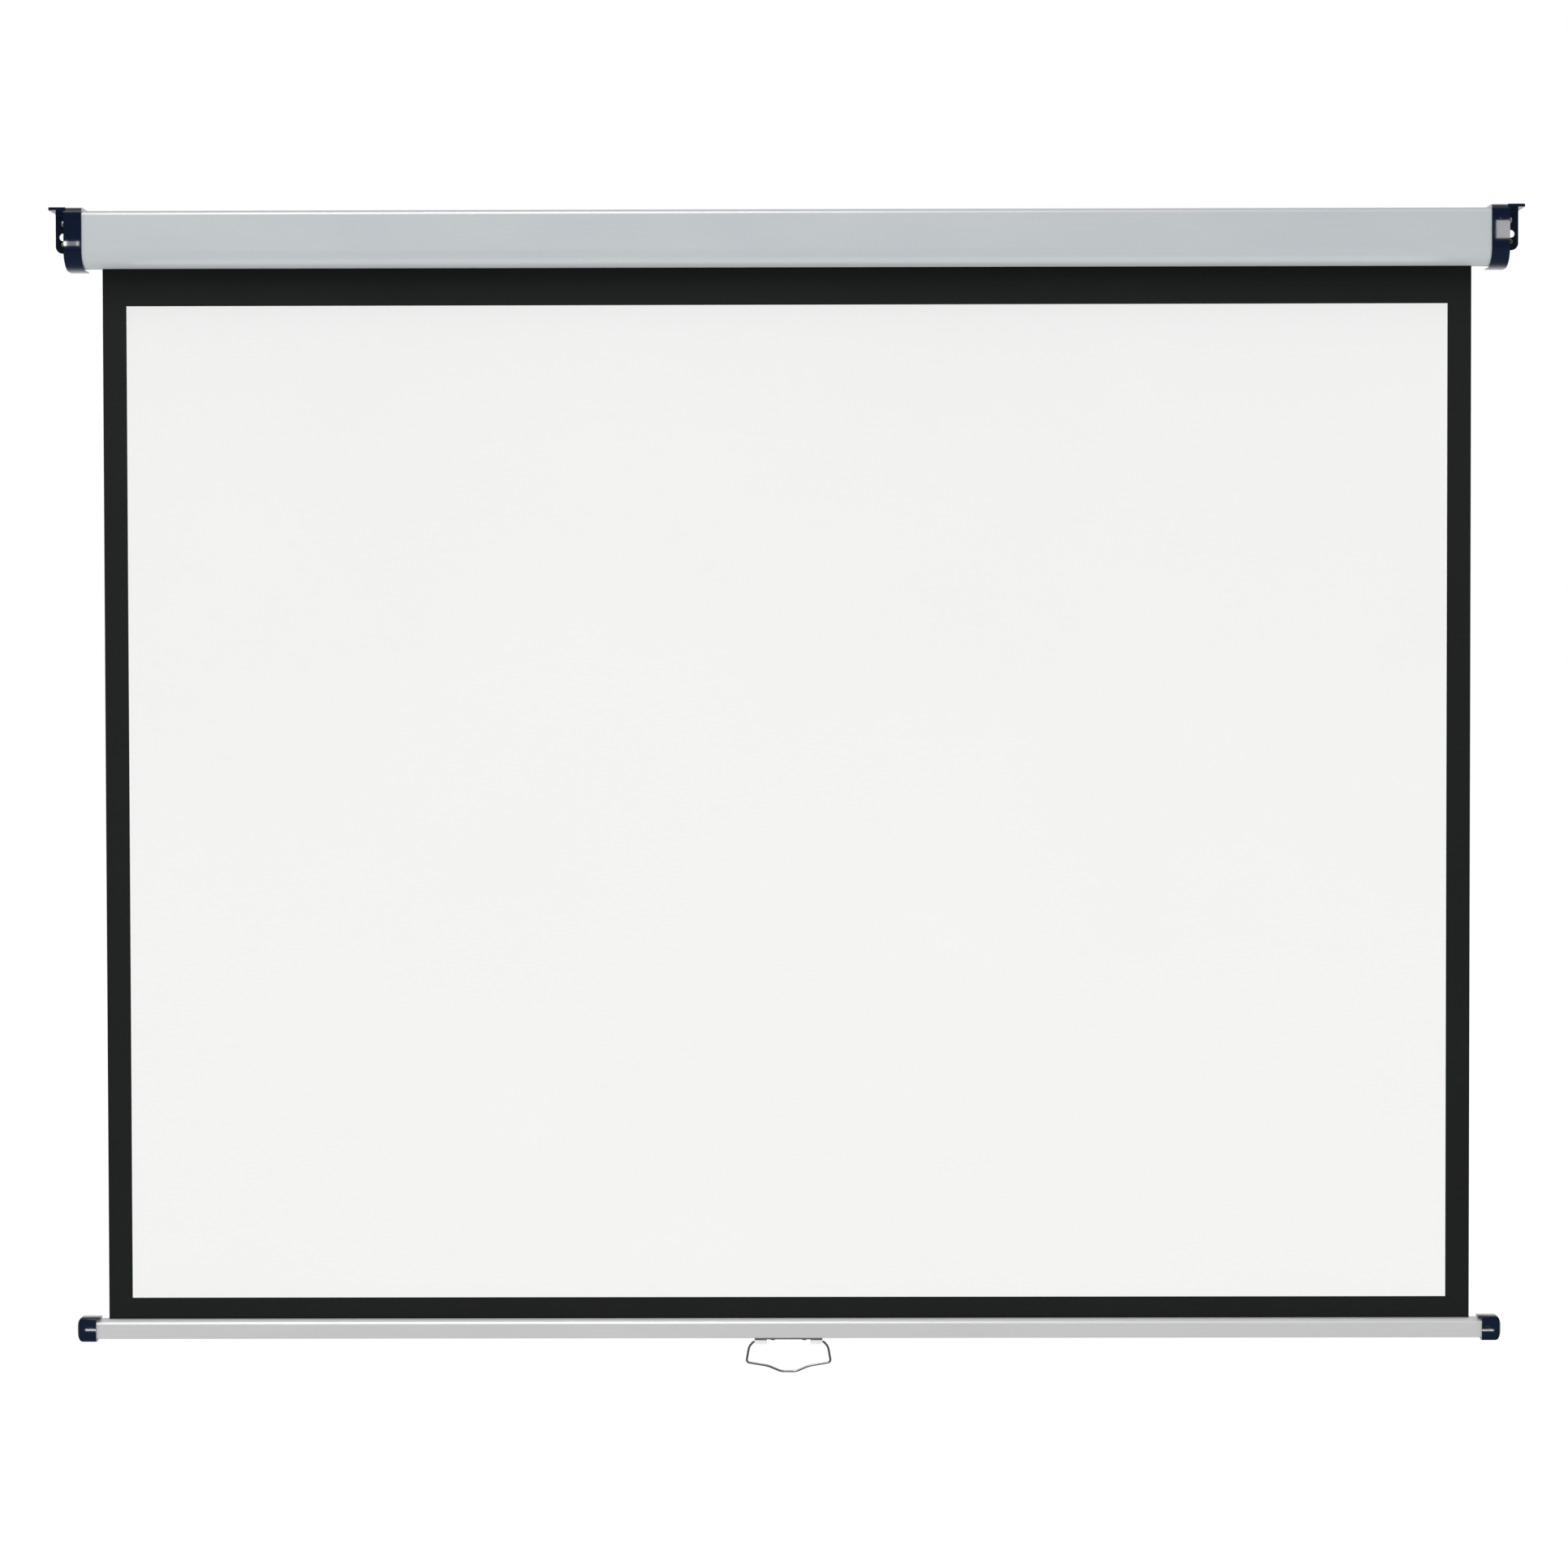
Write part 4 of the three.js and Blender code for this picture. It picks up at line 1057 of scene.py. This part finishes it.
folds = [drawn_out(outlined(rectangle((side * bearing_inner, side * plate_half), plate_depth),
                            {1: plate_round, 2: plate_round}, 2),
                   fold_foot, strip_foot + fold_overlap, 2) for side in (-1, 1)]
plate = worked(worked(strip, "UNION", *folds), "DIFFERENCE",
               *hole_pair(rivet_reach, fold_foot - overrun, plate_top + overrun),
               *hole_pair(bearing_middle, fold_foot - overrun, plate_top + overrun))
piece("handle_strip", plate, zinc_plate, "bar", "zinc_steel", "handle_plate", edge=0.18)
for name, side in sides:
    rivet = spun(rivet_profile, 40, (side * rivet_reach, bar_centre, 0), upward)
    piece(f"blind_rivet_{name}", rivet, zinc_plate, "bar", "zinc_steel", f"handle_rivet_{name}",
          edge=0.06)


# Handle bearings: two white nylon mouldings under the plate's folded ends. Each has a bore that
# the wire turns in, and a stud that is pressed up into the plate.
bearing_top = -1252.5
bearing_foot = -1257.5
bearing_round = 1.4
bearing_depth = about(bar_centre, 4.5)
wire_height = -1255.0
wire_bore = 1.7
wire_bore_range = (20, 44)
stud_radius = 1.6
stud_foot = bearing_top - 0.4


def moulded_white():
    material, feed = new_finish("white moulding")
    cloud = grain(feed, 5)
    fine = grain(feed, 0.5, detail=3.0)
    coated(feed, {
        "Base Color": tint(feed, cloud, colour(236, 236, 234), colour(243, 243, 242)),
        "Roughness": 0.34 + 0.12 * fine,
        "Subsurface Weight": 0.05,
        "Subsurface Scale": 0.001,
        "Normal": relief(feed, fine, 0.02, 0.4),
    })
    return material


white_moulding = moulded_white()
for name, side in sides:
    bearing = outlined(((bearing_inner, bearing_top), (bearing_inner, bearing_foot),
                        (plate_half, bearing_foot), (plate_half, bearing_top)),
                       {1: bearing_round, 2: bearing_round}, 1)
    bearing = worked(drawn_out(bearing, *bearing_depth, 1), "UNION",
                     upright(stud_radius, bearing_middle, stud_foot, plate_top - fit))
    bearing = worked(bearing, "DIFFERENCE",
                     rod(wire_bore, *wire_bore_range, 32, (0, bar_centre, wire_height)))
    piece(f"wire_bearing_{name}", mirrored(bearing, side), white_moulding, "bar", "bearing_white",
          f"handle_bearing_{name}", edge=0.35)


# Pull handle: one bright steel wire of 2.6 mm, bent into a flat loop with a shallow grip at its
# foot. Its ends lie in the two bearings, so it swings to the front and the back.
wire_radius = 1.3
wire_reach = 48.3
wire_drop = 33.8
end_bend = 1.3
loop_bend = 4
bend_parts = 10


def bright_wire():
    material, feed = new_finish("bright wire")
    drawn = grain(feed, 6, 0.5, 6)
    cloud = grain(feed, 12)
    coated(feed, {
        "Base Color": tint(feed, cloud, colour(136, 132, 128), colour(164, 160, 156)),
        "Metallic": 0.9,
        "Roughness": 0.22 + 0.16 * drawn,
        "Normal": relief(feed, drawn, 0.015, 0.4),
    })
    return material


half_loop = [(25.4, 0), (40.3, 0)] + [(across * wire_reach, -down * wire_drop) for across, down in (
    (0.936, 0.163), (1, 0.69), (0.487, 0.812), (0.176, 1))]
corners = [Vector((-x, 0, z)) for x, z in half_loop]
corners += [Vector((x, 0, z)) for x, z in reversed(half_loop)]
wire_line = [corners[0]]
for before, corner, after in zip(corners, corners[1:], corners[2:]):
    bend = end_bend if corner.z == 0 else loop_bend
    start, end = [corner + (other - corner).normalized() * min(bend, 0.45 * (other - corner).length)
                  for other in (before, after)]
    for part in range(bend_parts + 1):
        share = part / bend_parts
        wire_line.append(start.lerp(corner, share).lerp(corner.lerp(end, share), share))
wire_line.append(corners[-1])
wire_line = [spot + Vector((0, bar_centre, wire_height)) for spot in wire_line]
bent_wire("pull_wire", wire_line, wire_radius, bright_wire(), "handle", "wire_steel",
          "pull_handle", 5)


# Studio: a pale floor and a white backdrop, lit softly from the front and above. Gloss sees the
# backdrop behind the object. In front it sees a dim room with a softbox and small lit panels,
# which make the caps' sharp highlights.
floor_height = -2.6
floor_half = 60
photo_width = 1932
focal_length = 6068.7
studio = bpy.context.scene
studio.view_settings.view_transform = "Standard"
ground = bmesh.new()
bmesh.ops.create_grid(ground, x_segments=1, y_segments=1, size=floor_half)
bmesh.ops.translate(ground, vec=(0, 0, floor_height), verts=ground.verts)
floor = as_object(ground, "studio_floor")


def rays(feed, *kinds):
    """1 for a ray of one of these kinds, and 0 for any other."""
    found = [feed.node("LightPath", out=f"Is {kind} Ray") for kind in kinds]
    return feed.math("MINIMUM", sum(found[1:], found[0]), 1.0)


def coordinate(feed, kind, axis):
    place = feed.node("TexCoord", out=kind)
    return feed.node("SeparateXYZ", sockets={0: place}, out=axis)


def glow(feed, tone, strength):
    return feed.node("Emission", sockets={"Color": (*tone, 1), "Strength": strength})


def blend(feed, share, first, second):
    return feed.node("MixShader", sockets={0: share, 1: first, 2: second})


material, feed = new_finish("pale floor")
pale = feed.node("BsdfDiffuse", sockets={"Color": (0.86, 0.86, 0.86, 1)})
lit = blend(feed, 0.88, pale, glow(feed, (1, 1, 1), 1.1))
rear = stepped(feed, coordinate(feed, "Object", "Y"), 1.5, 6.0)
dim_share = rays(feed, "Glossy") * (1 - 0.5 * rear)
feed.node("OutputMaterial", sockets={
    "Surface": blend(feed, dim_share, lit, glow(feed, (0.8, 1, 0.9), 0.12))})
floor.data.materials.append(material)

world = bpy.data.worlds.new("studio")
studio.world = world
world.use_nodes = True
world.node_tree.nodes.clear()
feed = Feed(world.node_tree)
behind = stepped(feed, coordinate(feed, "Generated", "Y"), 0.0, 0.35)
above = stepped(feed, coordinate(feed, "Generated", "Z"), 0.45, 0.8)
glossy = rays(feed, "Glossy")
plain_white = rays(feed, "Camera", "Transmission")
gloss_level = feed.math("MINIMUM", 0.05 + 0.95 * behind + 0.7 * above, 1.0)
soft_level = 0.29 + 0.4 * above
level = plain_white + (1 - plain_white) * (glossy * gloss_level + (1 - glossy) * soft_level)
feed.node("OutputWorld", sockets={
    "Surface": feed.node("Background", sockets={"Color": (1, 1, 1, 1), "Strength": level})})


def lamp(name, kind, place, aim, power, **settings):
    light = bpy.data.lights.new(name, kind)
    light.energy = power
    for setting, value in settings.items():
        setattr(light, setting, value)
    made = bpy.data.objects.new(name, light)
    made.location = place
    made.rotation_euler = (Vector(aim) - Vector(place)).to_track_quat("-Z", "Y").to_euler()
    studio.collection.objects.link(made)
    return made


def panel_light(name, place, aim, radiance, width, height):
    """A lit rectangle of this brightness, at any size."""
    return lamp(name, "AREA", place, aim, radiance * math.pi * width * height, shape="RECTANGLE",
                size=width, size_y=height)


lamp("key", "SUN", (-1.6, -5.0, 4.1), (0, 0, -0.6), 0.55, angle=math.radians(40))
front_fill = lamp("front fill", "SUN", (0.6, -7.0, 0.0), (0, 0, -0.6), 0.4, angle=math.radians(50))
front_fill.visible_glossy = False
low_fill = lamp("low fill", "AREA", (0, -3.2, -1.6), (0, 0, 0), 16, shape="RECTANGLE", size=4,
                size_y=0.5)
low_fill.visible_glossy = False
softbox = panel_light("softbox", (-0.625, -2.37, 2.21), (-0.625, 0, 0.62), 9.5, 1.25, 2.38)
softbox.visible_diffuse = False
for name, left, right, distance, low, high, radiance in (
        ("right cap panel", 1.345, 1.38, 4, 0.2997, 0.3446, 9),
        ("left cap glint", -1.411, -1.4045, 4, 0.2894, 0.3005, 30),
        ("left cap strip", -1.4045, -1.386, 4, 0.2894, 0.3005, 4.5),
        ("left cap far end", -1.386, -1.381, 4, 0.2894, 0.3005, 13),
        ("left bar cap strip", -1.262, -1.222, 3, -1.6725, -1.667, 16),
        ("right bar cap strip", 1.19, 1.235, 3, -1.678, -1.6737, 16)):
    x, z = (left + right) / 2, (low + high) / 2
    panel_light(name, (x, -distance, z), (x, 0, z), radiance, right - left, high - low)

camera = bpy.data.objects.new("camera", bpy.data.cameras.new("camera"))
camera.data.sensor_width = 36
camera.data.lens = focal_length / photo_width * camera.data.sensor_width
camera.matrix_world = (
    Matrix.Translation((0.0279, -5.6210, -0.4302))
    @ Matrix.Rotation(math.radians(0.325), 4, "Z")
    @ Matrix.Rotation(math.radians(90 - 1.907), 4, "X")
    @ Matrix.Rotation(math.radians(-0.118), 4, "Z"))
studio.collection.objects.link(camera)
studio.camera = camera
